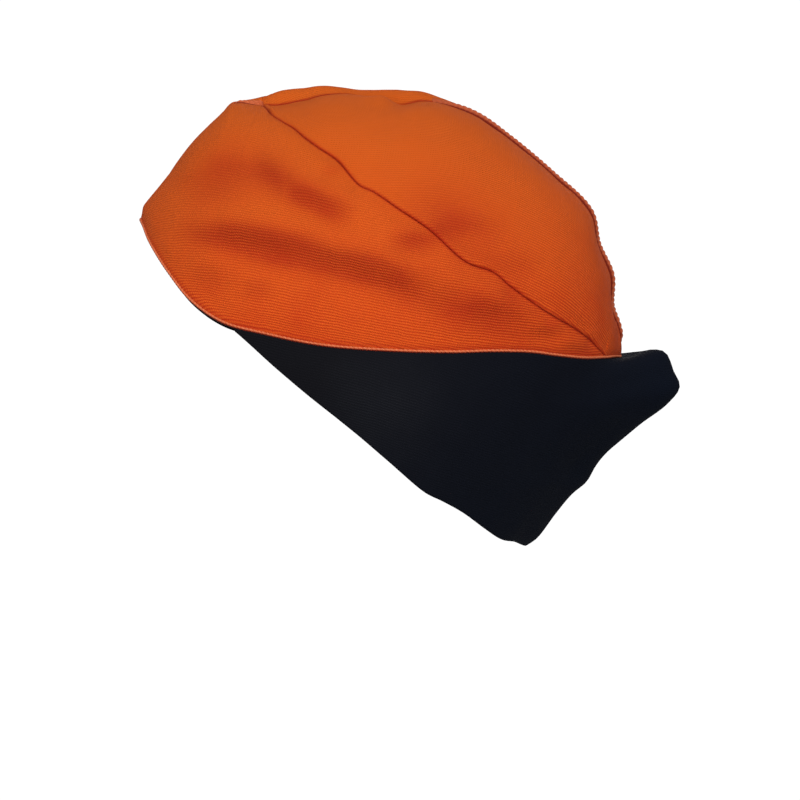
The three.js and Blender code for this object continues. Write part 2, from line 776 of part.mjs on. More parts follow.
// Steps lie closer together near the middle, where the flap folds
function neckFlap() {
  const shares = evenSteps(-1, 1, 2 * flapSteps).map((t) => 1 + Math.sign(t) * Math.abs(t) ** middleCrowding);
  const outer = [];
  const inner = [];
  for (const share of shares) {
    const outerRow = [];
    const innerRow = [];
    for (const down of evenSteps(0, 1, flapDownSteps)) {
      const point = flapPoint(share, down);
      const normal = flapNormal(share, down);
      outerRow.push(point);
      innerRow.push(point.clone().addScaledVector(normal, -flapWall));
    }
    outer.push(outerRow);
    inner.push(innerRow);
  }
  return clothWall({ outer, inner });
}

// The cap

const orangeTwill = { color: 0xd65a20, roughness: 0.86, metalness: 0 };
const orangeEdge = { color: 0xe28150, roughness: 0.8, metalness: 0 };
const blackTwill = { color: 0x16161d, roughness: 0.82, metalness: 0 };

function namedMesh(name, geometry, finish) {
  const mesh = new THREE.Mesh(geometry, new THREE.MeshStandardMaterial(finish));
  mesh.name = name;
  return mesh;
}

const weldingCap = new THREE.Group();
weldingCap.add(
  namedMesh("crown_side_left", clothWall(sides.left), orangeTwill),
  namedMesh("crown_side_right", clothWall(sides.right), orangeTwill),
  namedMesh("crown_top_left", clothWall(tops.left), orangeTwill),
  namedMesh("crown_top_right", clothWall(tops.right), orangeTwill),
  namedMesh("centre_welt", centreWelt(), orangeEdge),
  namedMesh("rolled_edge", rolledEdge(), orangeEdge),
  namedMesh("inner_band", innerBand(), blackTwill),
  namedMesh("neck_flap", neckFlap(), blackTwill),
);

export default weldingCap;
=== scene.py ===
import math

import bpy
import numpy as np
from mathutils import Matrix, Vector


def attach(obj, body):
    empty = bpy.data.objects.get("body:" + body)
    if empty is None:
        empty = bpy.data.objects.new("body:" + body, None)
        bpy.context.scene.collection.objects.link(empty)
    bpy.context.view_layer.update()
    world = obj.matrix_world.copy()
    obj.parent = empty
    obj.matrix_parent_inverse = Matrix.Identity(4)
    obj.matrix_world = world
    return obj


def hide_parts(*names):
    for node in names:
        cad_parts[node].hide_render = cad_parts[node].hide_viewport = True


# Welding cap: four panels of orange twill on a rolled rim, and a black flap of doubled cloth
# that hangs from the rim over the ears and the nape. Shapes are worked out in millimetres,
# brow towards -Y and left side towards +X, and go into the meshes in metres.

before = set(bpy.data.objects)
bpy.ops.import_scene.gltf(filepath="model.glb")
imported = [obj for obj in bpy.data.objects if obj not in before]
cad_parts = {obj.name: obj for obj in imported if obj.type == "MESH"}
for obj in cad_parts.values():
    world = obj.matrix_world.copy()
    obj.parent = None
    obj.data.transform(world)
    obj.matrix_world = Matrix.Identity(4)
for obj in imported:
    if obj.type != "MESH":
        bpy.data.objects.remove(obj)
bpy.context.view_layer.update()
mm = 0.001

# The photograph looks at the left side, a little from above
shot = {
    "azimuth": 90, "elevation": 5, "distance": 1.5, "aim": (0, 0.00844, -0.04997),
    "field": 0.35556, "sensor": 36,  # breadth of the view at the cap, and of the sensor
}


def makeCamera():
    turn, lift = math.radians(shot["azimuth"]), math.radians(shot["elevation"])
    back = Vector((math.sin(turn) * math.cos(lift), -math.cos(turn) * math.cos(lift), math.sin(lift)))
    data = bpy.data.cameras.new("camera")
    data.sensor_width = shot["sensor"]
    data.lens = shot["sensor"] * shot["distance"] / shot["field"]
    camera = bpy.data.objects.new("camera", data)
    camera.location = Vector(shot["aim"]) + back * shot["distance"]
    camera.rotation_euler = back.to_track_quat("Z", "Y").to_euler()
    bpy.context.scene.collection.objects.link(camera)
    bpy.context.scene.camera = camera


makeCamera()
print("camera made")


def unit(vectors):
    return vectors / np.maximum(np.linalg.norm(vectors, axis=-1, keepdims=True), 1e-12)


# 0 up to low, 1 from high on, and an even S between
def softStep(value, low, high):
    t = np.clip((value - low) / (high - low), 0, 1)
    return t * t * (3 - 2 * t)


# A bell round zero: 1 there, and a third of it at one width away
def bell(offset, width):
    return np.exp(-((offset / width) ** 2))


# A smooth line through points: each span is a cubic whose end slopes come from the points on
# both sides, timed by the square root of the spans' lengths. Returns its place at a share of
# its length, and that length.
def smoothLine(points, closed=False, perSpan=120):
    p = np.asarray(points, float)
    before, after = ([p[-1]], [p[0], p[1]]) if closed else ([2 * p[0] - p[1]], [2 * p[-1] - p[-2]])
    p = np.vstack([*before, p, *after])
    a, b, c, d = p[:-3, None], p[1:-2, None], p[2:-1, None], p[3:, None]
    ab, bc, cd = (np.linalg.norm(to - of, axis=-1, keepdims=True) ** 0.5 for of, to in ((a, b), (b, c), (c, d)))
    leave = ((b - a) / ab - (c - a) / (ab + bc) + (c - b) / bc) * bc
    arrive = ((c - b) / bc - (d - b) / (bc + cd) + (d - c) / cd) * bc
    t = np.linspace(0, 1, perSpan, endpoint=False)[None, :, None]
    bend, twist = 3 * (c - b) - 2 * leave - arrive, 2 * (b - c) + leave + arrive
    line = b + leave * t + bend * t**2 + twist * t**3
    line = np.vstack([line.reshape(-1, 3), p[-2]])
    gone = runningLength(stepLengths(line, 0))

    def placeAt(share):
        way = np.clip(share, 0, 1) * gone[-1]
        return np.stack([np.interp(way, gone, line[:, k]) for k in range(3)], axis=-1)

    return placeAt, gone[-1]


# A table's column at any place: a cubic between its rows, each row's slope from its neighbours
def columnAt(table, column, at):
    x, y = table[:, 0], table[:, column]
    low, high = np.r_[0, 0 : len(x) - 1], np.r_[1 : len(x), len(x) - 1]
    slope = (y[high] - y[low]) / (x[high] - x[low])
    at = np.clip(at, x[0], x[-1])
    i = np.clip(np.searchsorted(x, at), 1, len(x) - 1)
    span = x[i] - x[i - 1]
    t = (at - x[i - 1]) / span
    rise = t * t * (3 - 2 * t)
    bend = span * (t * (1 - t) ** 2 * slope[i - 1] + t * t * (t - 1) * slope[i])
    return y[i - 1] + (y[i] - y[i - 1]) * rise + bend


# Soft noise from -1 to 1: random values on a square lattice, joined by smooth steps
def softNoise(x, y, seed, size=64):
    lattice = np.random.default_rng(seed).uniform(-1, 1, (size, size))
    i, j = np.floor(x).astype(int), np.floor(y).astype(int)
    u, v = (t * t * t * (t * (6 * t - 15) + 10) for t in (x - i, y - j))
    i, j, k, m = i % size, j % size, (i + 1) % size, (j + 1) % size
    low = lattice[i, j] * (1 - u) + lattice[k, j] * u
    high = lattice[i, m] * (1 - u) + lattice[k, m] * u
    return low * (1 - v) + high * v


# Distances between neighbours of a grid along one of its axes, and their running sum from 0
def stepLengths(grid, axis):
    return np.linalg.norm(np.diff(grid, axis=axis), axis=-1)


def runningLength(steps):
    return np.pad(np.cumsum(steps, axis=-1), [(0, 0)] * (steps.ndim - 1) + [(1, 0)])


# A grid of points laid out flat as the cloth was cut: every triangle is turned to its best fit
# and all corners are then placed by least squares, in turns, so lengths hardly change
def flatten(grid, rounds=30):
    rows, columns = grid.shape[:2]
    points = grid.reshape(-1, 3)
    ids = np.arange(rows * columns).reshape(rows, columns)
    a, b, c, d = (part.ravel() for part in (ids[:-1, :-1], ids[1:, :-1], ids[1:, 1:], ids[:-1, 1:]))
    triangles = np.concatenate([np.stack([a, b, c], 1), np.stack([a, c, d], 1)])
    p, q, r = (points[triangles[:, k]] for k in range(3))
    long = np.linalg.norm(q - p, axis=1, keepdims=True)
    axisX = (q - p) / np.maximum(long, 1e-9)
    axisY = np.cross(unit(np.cross(axisX, r - p)), axisX)
    zero = np.zeros(len(p))
    corners = np.stack([
        np.stack([zero, zero], 1),
        np.stack([long[:, 0], zero], 1),
        np.stack([((r - p) * axisX).sum(1), ((r - p) * axisY).sum(1)], 1),
    ], axis=1)
    first, second = triangles[:, [0, 1, 2]], triangles[:, [1, 2, 0]]
    edges = corners[:, [1, 2, 0]] - corners[:, [0, 1, 2]]
    system = np.zeros((len(points), len(points)))
    np.add.at(system, (first, first), 1)
    np.add.at(system, (second, second), 1)
    np.add.at(system, (first, second), -1)
    np.add.at(system, (second, first), -1)
    solve = np.linalg.inv(system + 1e-7 * np.eye(len(points)))
    along = runningLength(stepLengths(grid, 0).mean(1))
    upward = runningLength(stepLengths(grid, 1))
    flat = np.stack([np.repeat(along[:, None], columns, 1), upward], 2).reshape(-1, 2)
    for _ in range(rounds):
        now = flat[second] - flat[first]
        turn = np.arctan2(
            (edges[..., 0] * now[..., 1] - edges[..., 1] * now[..., 0]).sum(1), (edges * now).sum((1, 2))
        )[:, None]
        turned = np.stack([
            edges[..., 0] * np.cos(turn) - edges[..., 1] * np.sin(turn),
            edges[..., 0] * np.sin(turn) + edges[..., 1] * np.cos(turn),
        ], 2)
        pull = np.zeros_like(flat)
        np.add.at(pull, second, turned)
        np.add.at(pull, first, -turned)
        flat = solve @ pull
    return flat.reshape(rows, columns, 2)


# Turns a flat cut so that its u axis is the direction that the photograph shows for the weave's
# ridges at one place of the grid, given in degrees down towards the back
def turnToWales(flat, grid, place, degrees):
    i, j = int(place[0] * (len(grid) - 1)), int(place[1] * (grid.shape[1] - 1))
    seen = np.stack([grid[i + 1, j, 1:] - grid[i, j, 1:], grid[i, j + 1, 1:] - grid[i, j, 1:]], 1)
    cut = np.stack([flat[i + 1, j] - flat[i, j], flat[i, j + 1] - flat[i, j]], 1)
    down = math.radians(degrees)
    x, y = cut @ np.linalg.solve(seen, [math.cos(down), -math.sin(down)])
    return (flat @ np.array([[x, -y], [y, x]])) / math.hypot(x, y)


# Values of a coarse grid at the places of a fine one: bent through the four nearest rows, then
# the four nearest columns
def spreadOver(coarse, atRows, atColumns):
    def weights(at, count):
        i = np.clip(np.floor(at).astype(int), 0, count - 2)
        t = at - i
        ends = [
            -t * (1 - t) ** 2 / 2, 1 - t * t * (5 - 3 * t) / 2,
            t * (1 + t * (4 - 3 * t)) / 2, -t * t * (1 - t) / 2,
        ]
        table = np.zeros((len(at), count))
        for k, weight in enumerate(ends):
            np.add.at(table, (np.arange(len(at)), np.clip(i + k - 1, 0, count - 1)), weight)
        return table

    rowWeights, columnWeights = weights(atRows, coarse.shape[0]), weights(atColumns, coarse.shape[1])
    return np.einsum("ia,abk,jb->ijk", rowWeights, coarse, columnWeights)


# Puts points in millimetres and faces into a new object, with its finishes, its flat cut as UVs
# and its named values per point. The shell is turned so that its faces point outwards.
def makePiece(name, points, quads, triangles, finishes, flat=None, backFrom=None, values=None):
    a, b, c, d = (points[quads[:, k]] for k in range(4))
    volume = (a * np.cross(b, c)).sum() + (a * np.cross(c, d)).sum()
    a, b, c = (points[triangles[:, k]] for k in range(3))
    volume += (a * np.cross(b, c)).sum()
    if volume < 0:
        quads, triangles = quads[:, ::-1], triangles[:, ::-1]
    mesh = bpy.data.meshes.new(name)
    mesh.from_pydata((points * mm).tolist(), [], quads.tolist() + triangles.tolist())
    mesh.polygons.foreach_set("use_smooth", np.ones(len(mesh.polygons), bool))
    for finish in finishes:
        mesh.materials.append(finish)
    if backFrom is not None:
        back = np.zeros(len(mesh.polygons), np.int32)
        back[backFrom[0] : backFrom[1]] = 1
        mesh.polygons.foreach_set("material_index", back)
    if flat is not None:
        corners = np.zeros(len(mesh.loops), np.int32)
        mesh.loops.foreach_get("vertex_index", corners)
        mesh.uv_layers.new(name="cut").uv.foreach_set("vector", flat[corners].astype(np.float32).ravel())
    for key, value in (values or {}).items():
        marks = mesh.attributes.new(key, "FLOAT", "POINT")
        marks.data.foreach_set("value", value.astype(np.float32).ravel())
    mesh.update()
    piece = bpy.data.objects.new(name, mesh)
    bpy.context.scene.collection.objects.link(piece)
    return piece


# A closed wall of cloth between an outer and an inner grid that meet along both long edges:
# each row is one loop, out along the outer face and home along the inner, with both ends closed
def clothShell(name, outer, inner, finishes, flat, values):
    rows, columns = outer.shape[:2]
    around = 2 * columns - 2
    loop = lambda out, home: np.concatenate([out, home[:, -2:0:-1]], axis=1).reshape(rows * around, -1)
    points = loop(outer, inner)
    ids = np.arange(rows * around).reshape(rows, around)
    here, over = ids, np.roll(ids, -1, axis=1)
    quads = np.stack([here[:-1], here[1:], over[1:], over[:-1]], -1)
    outside = quads[:, : columns - 1].reshape(-1, 4)
    inside = quads[:, columns - 1 :].reshape(-1, 4)
    ends = []
    for row, step in ((ids[0], 1), (ids[-1], -1)):
        home = np.concatenate([row[:1], row[: columns - 1 : -1], row[columns - 1 : columns]])
        strip = np.stack([row[1 : columns - 2], row[2 : columns - 1], home[2:-1], home[1:-2]], 1)[:, ::step]
        tips = np.array([[row[0], row[1], home[1]], [row[columns - 2], row[columns - 1], home[-2]]])
        ends.append((strip, tips[:, ::step]))
    quads = np.concatenate([outside, ends[0][0], ends[1][0], inside])
    triangles = np.concatenate([ends[0][1], ends[1][1]])
    start = len(quads) - len(inside)
    values = {key: loop(value[..., None], value[..., None]) for key, value in values.items()}
    return makePiece(name, points, quads, triangles, finishes, loop(flat, flat), (start, len(quads)), values)


# A section carried along a line, given as rings of points: joined end to end, or closed by flat
# ends. Its UVs are millimetres along the line and round the section.
def sweptPiece(name, rings, closed, finishes, values=None):
    count, around = rings.shape[:2]
    ids = np.arange(count * around).reshape(count, around)
    after = np.roll(ids, -1, axis=0)
    quads = np.stack([ids, after, np.roll(after, -1, axis=1), np.roll(ids, -1, axis=1)], -1)
    quads = quads[: count if closed else count - 1].reshape(-1, 4)
    fans = []
    if not closed:
        for row, step in ((ids[0], 1), (ids[-1], -1)):
            fan = np.stack([np.full(around - 2, row[0]), row[1:-1], row[2:]], 1)
            fans.append(fan[:, ::step])
    triangles = np.concatenate(fans) if fans else np.zeros((0, 3), int)
    gone = runningLength(stepLengths(rings, 0).mean(1))
    girth = runningLength(stepLengths(rings, 1).mean(0))
    flat = np.stack(np.meshgrid(gone, girth, indexing="ij"), -1).reshape(-1, 2)
    return makePiece(name, rings.reshape(-1, 3), quads, triangles, finishes, flat, None, values)


# Sizes of the crown, in millimetres
cap = {
    "rimLength": 213, "rimWidth": 161, "browRise": 30.4, "napeDrop": 30.4, "crownHeight": 86,
    "wall": 1.6,  # outer twill and its turned-in back
    "squareness": 2.2,  # 2 is an ellipse across the crown, more is squarer
    "crease": 0.3,  # how straight the brow seam's two sides run to their crease
    "apexAt": 0.215, "apexBlend": 0.03,  # where the brow seam comes over the top, share of the middle line
    "sidePuff": 2.2, "topPuff": 7, "nearRise": 8, "nearFoot": (6, 30), "farRise": 4.5, "farFoot": (12, 55),
    "rimHold": 8,  # height over which bulges and folds fade out above the rim
    "apexSoft": 0.06,  # share over which the apex's bend is evened out lower down
    "bellySoft": 0.06,  # share over which the side panel's bulge follows the seam's start
    "archOverChord": 1.15,
}

# The rim from the brow round to the nape: along in shares of rimLength, breadth of half
# rimWidth, height of browRise above the origin and of napeDrop below it
rimTable = np.array([
    [-0.5, 0, 1], [-0.49, 0.15, 0.91], [-0.472, 0.325, 0.7], [-0.428, 0.56, 0.3], [-0.378, 0.72, -0.08],
    [-0.312, 0.845, -0.36], [-0.23, 0.93, -0.5], [-0.116, 0.98, -0.65], [0.016, 1, -0.72], [0.14, 0.97, -0.75],
    [0.226, 0.9, -0.75], [0.301, 0.807, -0.78], [0.351, 0.72, -0.84], [0.411, 0.57, -0.91],
    [0.458, 0.385, -0.94], [0.482, 0.224, -0.96], [0.5, 0, -1],
])

# The middle line over the top: along in shares of rimLength, height of crownHeight or napeDrop
middleTable = np.array([
    [-0.458, 0.518], [-0.375, 0.766], [-0.3375, 0.874], [-0.308, 0.946], [-0.296, 0.95], [-0.244, 0.932],
    [-0.159, 0.96], [-0.129, 0.983], [-0.1, 0.994], [-0.065, 0.993], [-0.0316, 0.97], [0.004, 0.948],
    [0.042, 0.938], [0.0835, 0.955], [0.124, 0.944], [0.2, 0.876], [0.269, 0.757], [0.353, 0.583],
    [0.434, 0.388], [0.449, 0.22], [0.478, 0.06], [0.476, -0.28], [0.493, -0.56], [0.501, -0.8],
])

# The side seam: share along the rim and the middle line, share of the way up between them
seamTable = np.array([
    [0.256, 1], [0.262, 0.93], [0.275, 0.811], [0.292, 0.737], [0.315, 0.672], [0.336, 0.611], [0.36, 0.562],
    [0.395, 0.509], [0.43, 0.435], [0.456, 0.413], [0.498, 0.363], [0.548, 0.312], [0.593, 0.258],
    [0.613, 0.243], [0.652, 0.235], [0.682, 0.203], [0.737, 0.155], [0.766, 0.14], [0.812, 0.122],
    [0.855, 0.089], [0.9, 0],
])

# Fullness beside the centre seam: share along, left and right in topPuff
puffTable = np.array([
    [0.22, 0.05, 0.22], [0.256, 0, 0.66], [0.29, 0, 1], [0.34, 0, 0.8], [0.384, 0.03, 0.5],
    [0.408, 0.3, 0.68], [0.432, 0.62, 0.9], [0.458, 0.05, 1], [0.487, 0, 0.78], [0.515, 0, 0.5],
    [0.58, 0, 0.25], [0.62, 0, 0.1], [0.8, 0, 0.05], [0.92, 0, 0.25], [1, 0, 0],
])


def signedHeight(share, above):
    return share * np.where(share > 0, above, cap["napeDrop"])


leftRim = np.stack([
    rimTable[:, 1] * cap["rimWidth"] / 2,
    rimTable[:, 0] * cap["rimLength"],
    signedHeight(rimTable[:, 2], cap["browRise"]),
], 1)
rimLine, rimAround = smoothLine(np.concatenate([leftRim, leftRim[-2:0:-1] * [-1, 1, 1]]), closed=True)
browPoint, napePoint = leftRim[0], leftRim[-1]
middlePoints = np.stack([
    0 * middleTable[:, 0],
    middleTable[:, 0] * cap["rimLength"],
    signedHeight(middleTable[:, 1], cap["crownHeight"]),
], 1)
middleLine, middleLength = smoothLine(np.vstack([browPoint, middlePoints, napePoint]))
probe = 0.004  # share over which slopes are taken
creaseEnd, seamEnd = seamTable[0, 0], seamTable[-1, 0]


def rimAt(at):
    return rimLine(np.clip(at, 0, 1) / 2)


# The middle line as the cloth below it follows it: its own place at the top, and lower down the
# mean of seven places around it, by the cube of the share up
def middleBelow(at, up):
    reach = np.minimum(cap["apexSoft"], np.minimum(at, 1 - at))
    mean = sum(middleLine(at + reach * k / 3) for k in range(-3, 4)) / 7
    return mean + (middleLine(at) - mean) * (up**3)[..., None]


# The crown's plain form: an arch from the rim to the middle line. Breadth falls as a power of
# the cosine and height rises as a power of the sine, blended with a straight line in front.
def crownBase(at, up):
    at, up = np.broadcast_arrays(np.asarray(at, float), np.asarray(up, float))
    rim, middle = rimAt(at), middleBelow(at, up)
    crease = cap["crease"] * np.clip(1 - at / creaseEnd, 0, 1) ** 2
    angle = up * math.pi / 2
    power = 2 / cap["squareness"]
    across = (1 - crease) * np.clip(np.cos(angle), 0, 1) ** power + crease * (1 - up)
    rise = ((1 - crease) * np.clip(np.sin(angle), 0, 1) ** power + crease * up)[..., None]
    place = rim + (middle - rim) * rise
    place[..., 0] = rim[..., 0] * across
    return place


# Outward direction of the plain form: along crossed with upward, level on the middle line
def crownNormal(at, up):
    at, up = np.broadcast_arrays(np.asarray(at, float), np.asarray(up, float))
    back = np.clip(at - probe, probe, 1 - 3 * probe)
    low = np.clip(up - probe, 0, 1 - 2 * probe)
    alongway = crownBase(back + 2 * probe, up) - crownBase(back, up)
    upward = crownBase(at, low + 2 * probe) - crownBase(at, low)
    normal = unit(np.cross(alongway, upward))
    normal[..., 0] = np.where(up > 1 - probe, 0, normal[..., 0])
    return unit(normal)


def seamUp(at):
    return np.where(at >= seamEnd, 0, np.clip(columnAt(seamTable, 1, at), 0, 1))


def seamTop(at):
    return np.where(at < creaseEnd, 1, seamUp(at))


def sectionLength(at):
    return cap["archOverChord"] * np.linalg.norm(rimAt(at) - middleLine(at), axis=-1)


def aboveRim(at, up):
    return np.linalg.norm((crownBase(at, up) - rimAt(at))[..., 1:], axis=-1)


# Share of the way up at which the cloth has risen by a height, found by halving
def upAtHeight(at, height):
    low, high = np.zeros_like(at), np.ones_like(at)
    for _ in range(24):
        middle = (low + high) / 2
        under = aboveRim(at, middle) < height
        low, high = np.where(under, middle, low), np.where(under, high, middle)
    return high


# Folds seen from the side: both ends of the shaded line under each, in shares of rimLength and
# crownHeight, then its bow in crownHeight, its width and depth in the folds' own, and its
# strength on the right side
folds = {
    "width": 10, "depth": 2, "taper": 0.7, "seamHold": 9,
    "shadeTaper": 1.3, "shadeAt": 0.3, "shade": 1.2,  # the painted shade in a fold's colour, in its widths below its line
    "darkest": 1.5, "patchy": 0.3, "streaky": 0.35,  # depth at which the painted fold shade is full, and how noise thins it
}
foldTable = np.array([
    [-0.42, 0.321, -0.158, 0.221, 0.02, 0.5, 0.65, 0.7], [-0.33, 0.312, 0.1, 0.03, 0.035, 0.62, 1.15, 0.8],
    [-0.089, 0.197, 0.371, -0.217, 0.01, 0.8, 0.6, 0.6], [0.162, -0.018, 0.319, -0.092, 0, 0.5, 0.3, 0.5],
    [-0.25, 0.735, -0.123, 0.444, -0.03, 0.55, 0.5, 0.6], [-0.187, 0.521, -0.036, 0.41, -0.01, 0.42, 0.95, 0.5],
    [-0.425, 0.531, -0.21, 0.666, 0.03, 0.9, 0.65, 0.6], [-0.124, 0.609, -0.066, 0.633, 0, 0.25, 0.25, 0.3],
    [0.004, 0.285, 0.131, 0.318, -0.01, 0.42, 0.65, 0.4], [0.295, -0.173, 0.377, -0.158, 0, 0.35, 0.25, 0.4],
    [0.352, -0.278, 0.451, -0.279, 0, 0.35, 0.45, 0.4], [-0.294, 0.052, -0.201, 0.045, 0, 0.4, 0.25, 0.5],
    [-0.389, 0.132, -0.278, 0.077, 0, 0.5, 0.3, 0.5], [0.036, 0.56, 0.344, 0.087, 0.03, 0.95, 0.45, 0.5],
    [0.083, 0.357, 0.203, 0.311, 0, 0.5, 0.3, 0.4], [0.234, 0.193, 0.315, 0.119, 0, 0.5, 0.3, 0.4],
])


# Height of all folds, and how much painted shade each place gets in them: the cloth stands out above each line
# and sinks in below it, by the offset times a bell, and along the line by a sine's power
def foldHeight(place, side):
    total, paintedFoldShade = np.zeros(place.shape[:2]), np.zeros(place.shape[:2])
    for fromY, fromZ, toY, toZ, bow, width, depth, right in foldTable:
        y, z = place[..., 1] - fromY * cap["rimLength"], place[..., 2] - fromZ * cap["crownHeight"]
        runY, runZ = (toY - fromY) * cap["rimLength"], (toZ - fromZ) * cap["crownHeight"]
        length = math.hypot(runY, runZ)
        t = np.clip((y * runY + z * runZ) / length**2, 0, 1)
        sag = bow * cap["crownHeight"] * 4 * t * (1 - t)
        off = ((z * runY - y * runZ) / length - sag) / (width * folds["width"])
        strength = depth * folds["depth"] * (1 if side > 0 else right)
        along, shade = np.sin(math.pi * t), bell(off + folds["shadeAt"], folds["shade"])
        total += strength * along ** folds["taper"] * off * np.exp((1 - off**2) / 2)
        paintedFoldShade += strength * along ** folds["shadeTaper"] * shade
    return total, paintedFoldShade


# Fullness beside the centre seam: none on it, most past its rise, and gone by its foot
def seamPuff(at, up, side):
    full = columnAt(puffTable, 1 if side > 0 else 2, at) * cap["topPuff"]
    away = (1 - up) * sectionLength(at)
    rise, foot = (cap["nearRise"], cap["nearFoot"]) if side > 0 else (cap["farRise"], cap["farFoot"])
    return full * (1 - bell(away, rise)) * (1 - softStep(away, *foot))


# How the seams are sewn
seam = {
    "depth": 1.1, "reach": 4.5,  # how far the cloth is drawn in, and how far from the seam
    "centreDepth": 0.3, "centreReach": 1.5,  # the same at the centre seam
    "hidden": 0.03,  # share over which the right side seam starts, under the fullness
    "turn": 0.4,  # rounding of a turned-in edge
    "lip": 0.5, "lipWidth": 1.3, "lipAt": 1.6,  # the top panel's edge stands a little proud of the seam
    "pucker": 0.32, "puckerReach": 6, "puckerFrom": 2, "puckerPitch": 8, "puckerLength": 14,
    "front": 0.25,  # how much of the puckers and the painted shade line shows on the brow's crease
    "lap": 0.2, "lapReach": 0.5,  # the edges at the centre seam run into each other by this much
    "tuck": (0.8, 0.5), "tuckReach": 0.0025,  # the top panels' tips run forward and down by this much
    "ditchShade": 0.75,  # half width of the painted shade line in a seam
    "rimShade": 0.5, "rimShadeAt": 1, "rimShadeWidth": 1.2,  # the soft painted shade above the rolled edge
    "centreShade": (1, 2.5), "apexShade": 3,  # half widths of the painted shade at the centre seam: left, right, and in front
    "shadeEdge": (0.7, 1.1),  # shares of that half width between which the painted shade fades
    "rollAt": 0.43, "rollWidth": 0.03, "rollHides": 0.9,  # the near panel rolls over the seam and hides its painted shade line
}


# Bulge of the side: a sine from the rim up to the side seam's mean height over a stretch
def sideBelly(at, up):
    tops = [seamTop(at + cap["bellySoft"] * k / 3) for k in range(-3, 4)]
    top = np.maximum(sum(tops) / 7, 1e-6)
    return cap["sidePuff"] * np.sin(math.pi * np.clip(up / top, 0, 1)) * softStep(top, 0, 0.5)


# How much of the side seam shows: all of it, but on the right it comes out from under the fullness
def seamShows(at, side):
    return np.ones_like(at) if side > 0 else softStep(at, creaseEnd, creaseEnd + seam["hidden"])


# How far a side seam draws the cloth in: its depth times a bell, and less where it is a centre seam
def sidePull(at, away, side):
    centre = seam["centreDepth"] * bell(away, seam["centreReach"])
    beside = seam["depth"] * bell(away, seam["reach"]) * seamShows(at, side)
    return centre + (beside - centre) * softStep(at, creaseEnd, creaseEnd + seam["hidden"] / 2)


# How free the cloth is of the rim: 0 on it, 1 from rimHold above it on
def offRim(at, up):
    return softStep(aboveRim(at, up), 0, cap["rimHold"])


# Height of the cloth over the plain form: bulge, fullness and folds, less its seams' pull
def clothHeight(at, up, side, puffShare, slack, pull):
    full = sideBelly(at, up) + puffShare * seamPuff(at, up, side)
    return offRim(at, up) * (full + slack * foldHeight(crownBase(at, up), side)[0] - pull)


def sideHeight(at, up, side):
    sewn = softStep(at, cap["apexAt"] - cap["apexBlend"], cap["apexAt"])
    toSeam = (seamTop(at) - up) * sectionLength(at)
    slack = softStep(toSeam, 0, folds["seamHold"])
    return clothHeight(at, up, side, sewn, slack, sewn * sidePull(at, toSeam, side))


def topHeight(at, up, side):
    low = seamUp(at)
    toSide, toCentre = (up - low) * sectionLength(at), (1 - up) * sectionLength(at)
    centre = seam["centreDepth"] * bell(toCentre, seam["centreReach"])
    pull = np.maximum(np.where(low > 0, sidePull(at, toSide, side), 0), centre)
    slack = softStep(toSide, 0, folds["seamHold"]) * softStep(toCentre, 0, 2 * folds["seamHold"])
    return clothHeight(at, up, side, 1, slack, pull)


# Distance of each point of a grid from the edge that its rows end on, measured square to that
# edge, and its place along the edge
def fromEdge(grid, last):
    along = runningLength(stepLengths(grid, 1))
    along = along[:, -1:] - along if last else along
    edge = grid[:, -1] if last else grid[:, 0]
    beside = grid[:, -4] if last else grid[:, 3]
    gone = runningLength(stepLengths(edge, 0))
    cosine = (unit(np.gradient(edge, axis=0)) * unit(beside - edge)).sum(1)[:, None]
    return along * np.sqrt(np.clip(1 - cosine**2, 0, 1)), gone[:, None] + along * cosine


# Cloth surface
cloth = {
    "broad": 0.35, "broadSize": 26, "small": 0.14, "smallSize": 9, "smallStretch": 2.2,
    "calmRim": 4, "calmSeam": 6,  # distances over which the wrinkles start
    "inside": 0.6,  # how much of them shows on the inner face
    "along": 540, "across": 42, "coarse": (44, 15),
    "edgeStops": [0, 0.0008, 0.0025, 0.005, 0.009, 0.015, 0.023, 0.033, 0.046],  # shares from each edge
}


# Shares across a piece of cloth: given stops at both edges, even between
def acrossShares(stops, count):
    stops = np.array(stops)
    middle = np.linspace(stops[-1], 1 - stops[-1], count)[1:-1]
    return np.concatenate([stops, middle, 1 - stops[::-1]])


# Area of a flat grid: half the cross product of each cell's diagonals
def areaOf(flat):
    one, two = flat[1:, 1:] - flat[:-1, :-1], flat[:-1, 1:] - flat[1:, :-1]
    return abs((one[..., 0] * two[..., 1] - one[..., 1] * two[..., 0]).sum()) / 2


# Rounds a turned-in edge: the share of the wall left at a distance, a quarter circle
def edgeRound(distance, radius):
    return np.sqrt(np.clip(1 - (1 - np.clip(distance / radius, 0, 1)) ** 2, 0, 1))


# Where the cloth of a panel lies before its wrinkles: the plain form raised by the panel's height
def panelPlace(at, up, side, height):
    return crownBase(at, up) + crownNormal(at, up) * height(at, up, side)[..., None]


# A panel's flat cut: a coarse grid of it flattened, turned to its wales and spread over the fine one
def panelCut(stations, lowUp, highUp, side, height, wales, share):
    rowCount, columnCount = cloth["coarse"]
    rows = np.linspace(0, len(stations) - 1, rowCount)
    at = np.interp(rows, np.arange(len(stations)), stations)[:, None]
    low, high = lowUp(at), highUp(at)
    coarse = panelPlace(at, low + (high - low) * np.linspace(0, 1, columnCount), side, height)
    flat = turnToWales(flatten(coarse), coarse, wales[:2], wales[2])
    atRows = np.interp(np.arange(len(stations)), rows, np.arange(rowCount))
    return spreadOver(flat, atRows, share * (columnCount - 1))


# Prints a finished sheet's flat size, its area and its face count
def tellCut(name, flat, piece):
    sides = np.round(np.ptp(flat.reshape(-1, 2), axis=0), 1)
    print(name, "cut", sides, "mm, area", round(areaOf(flat)), "mm2, faces", len(piece.data.polygons))


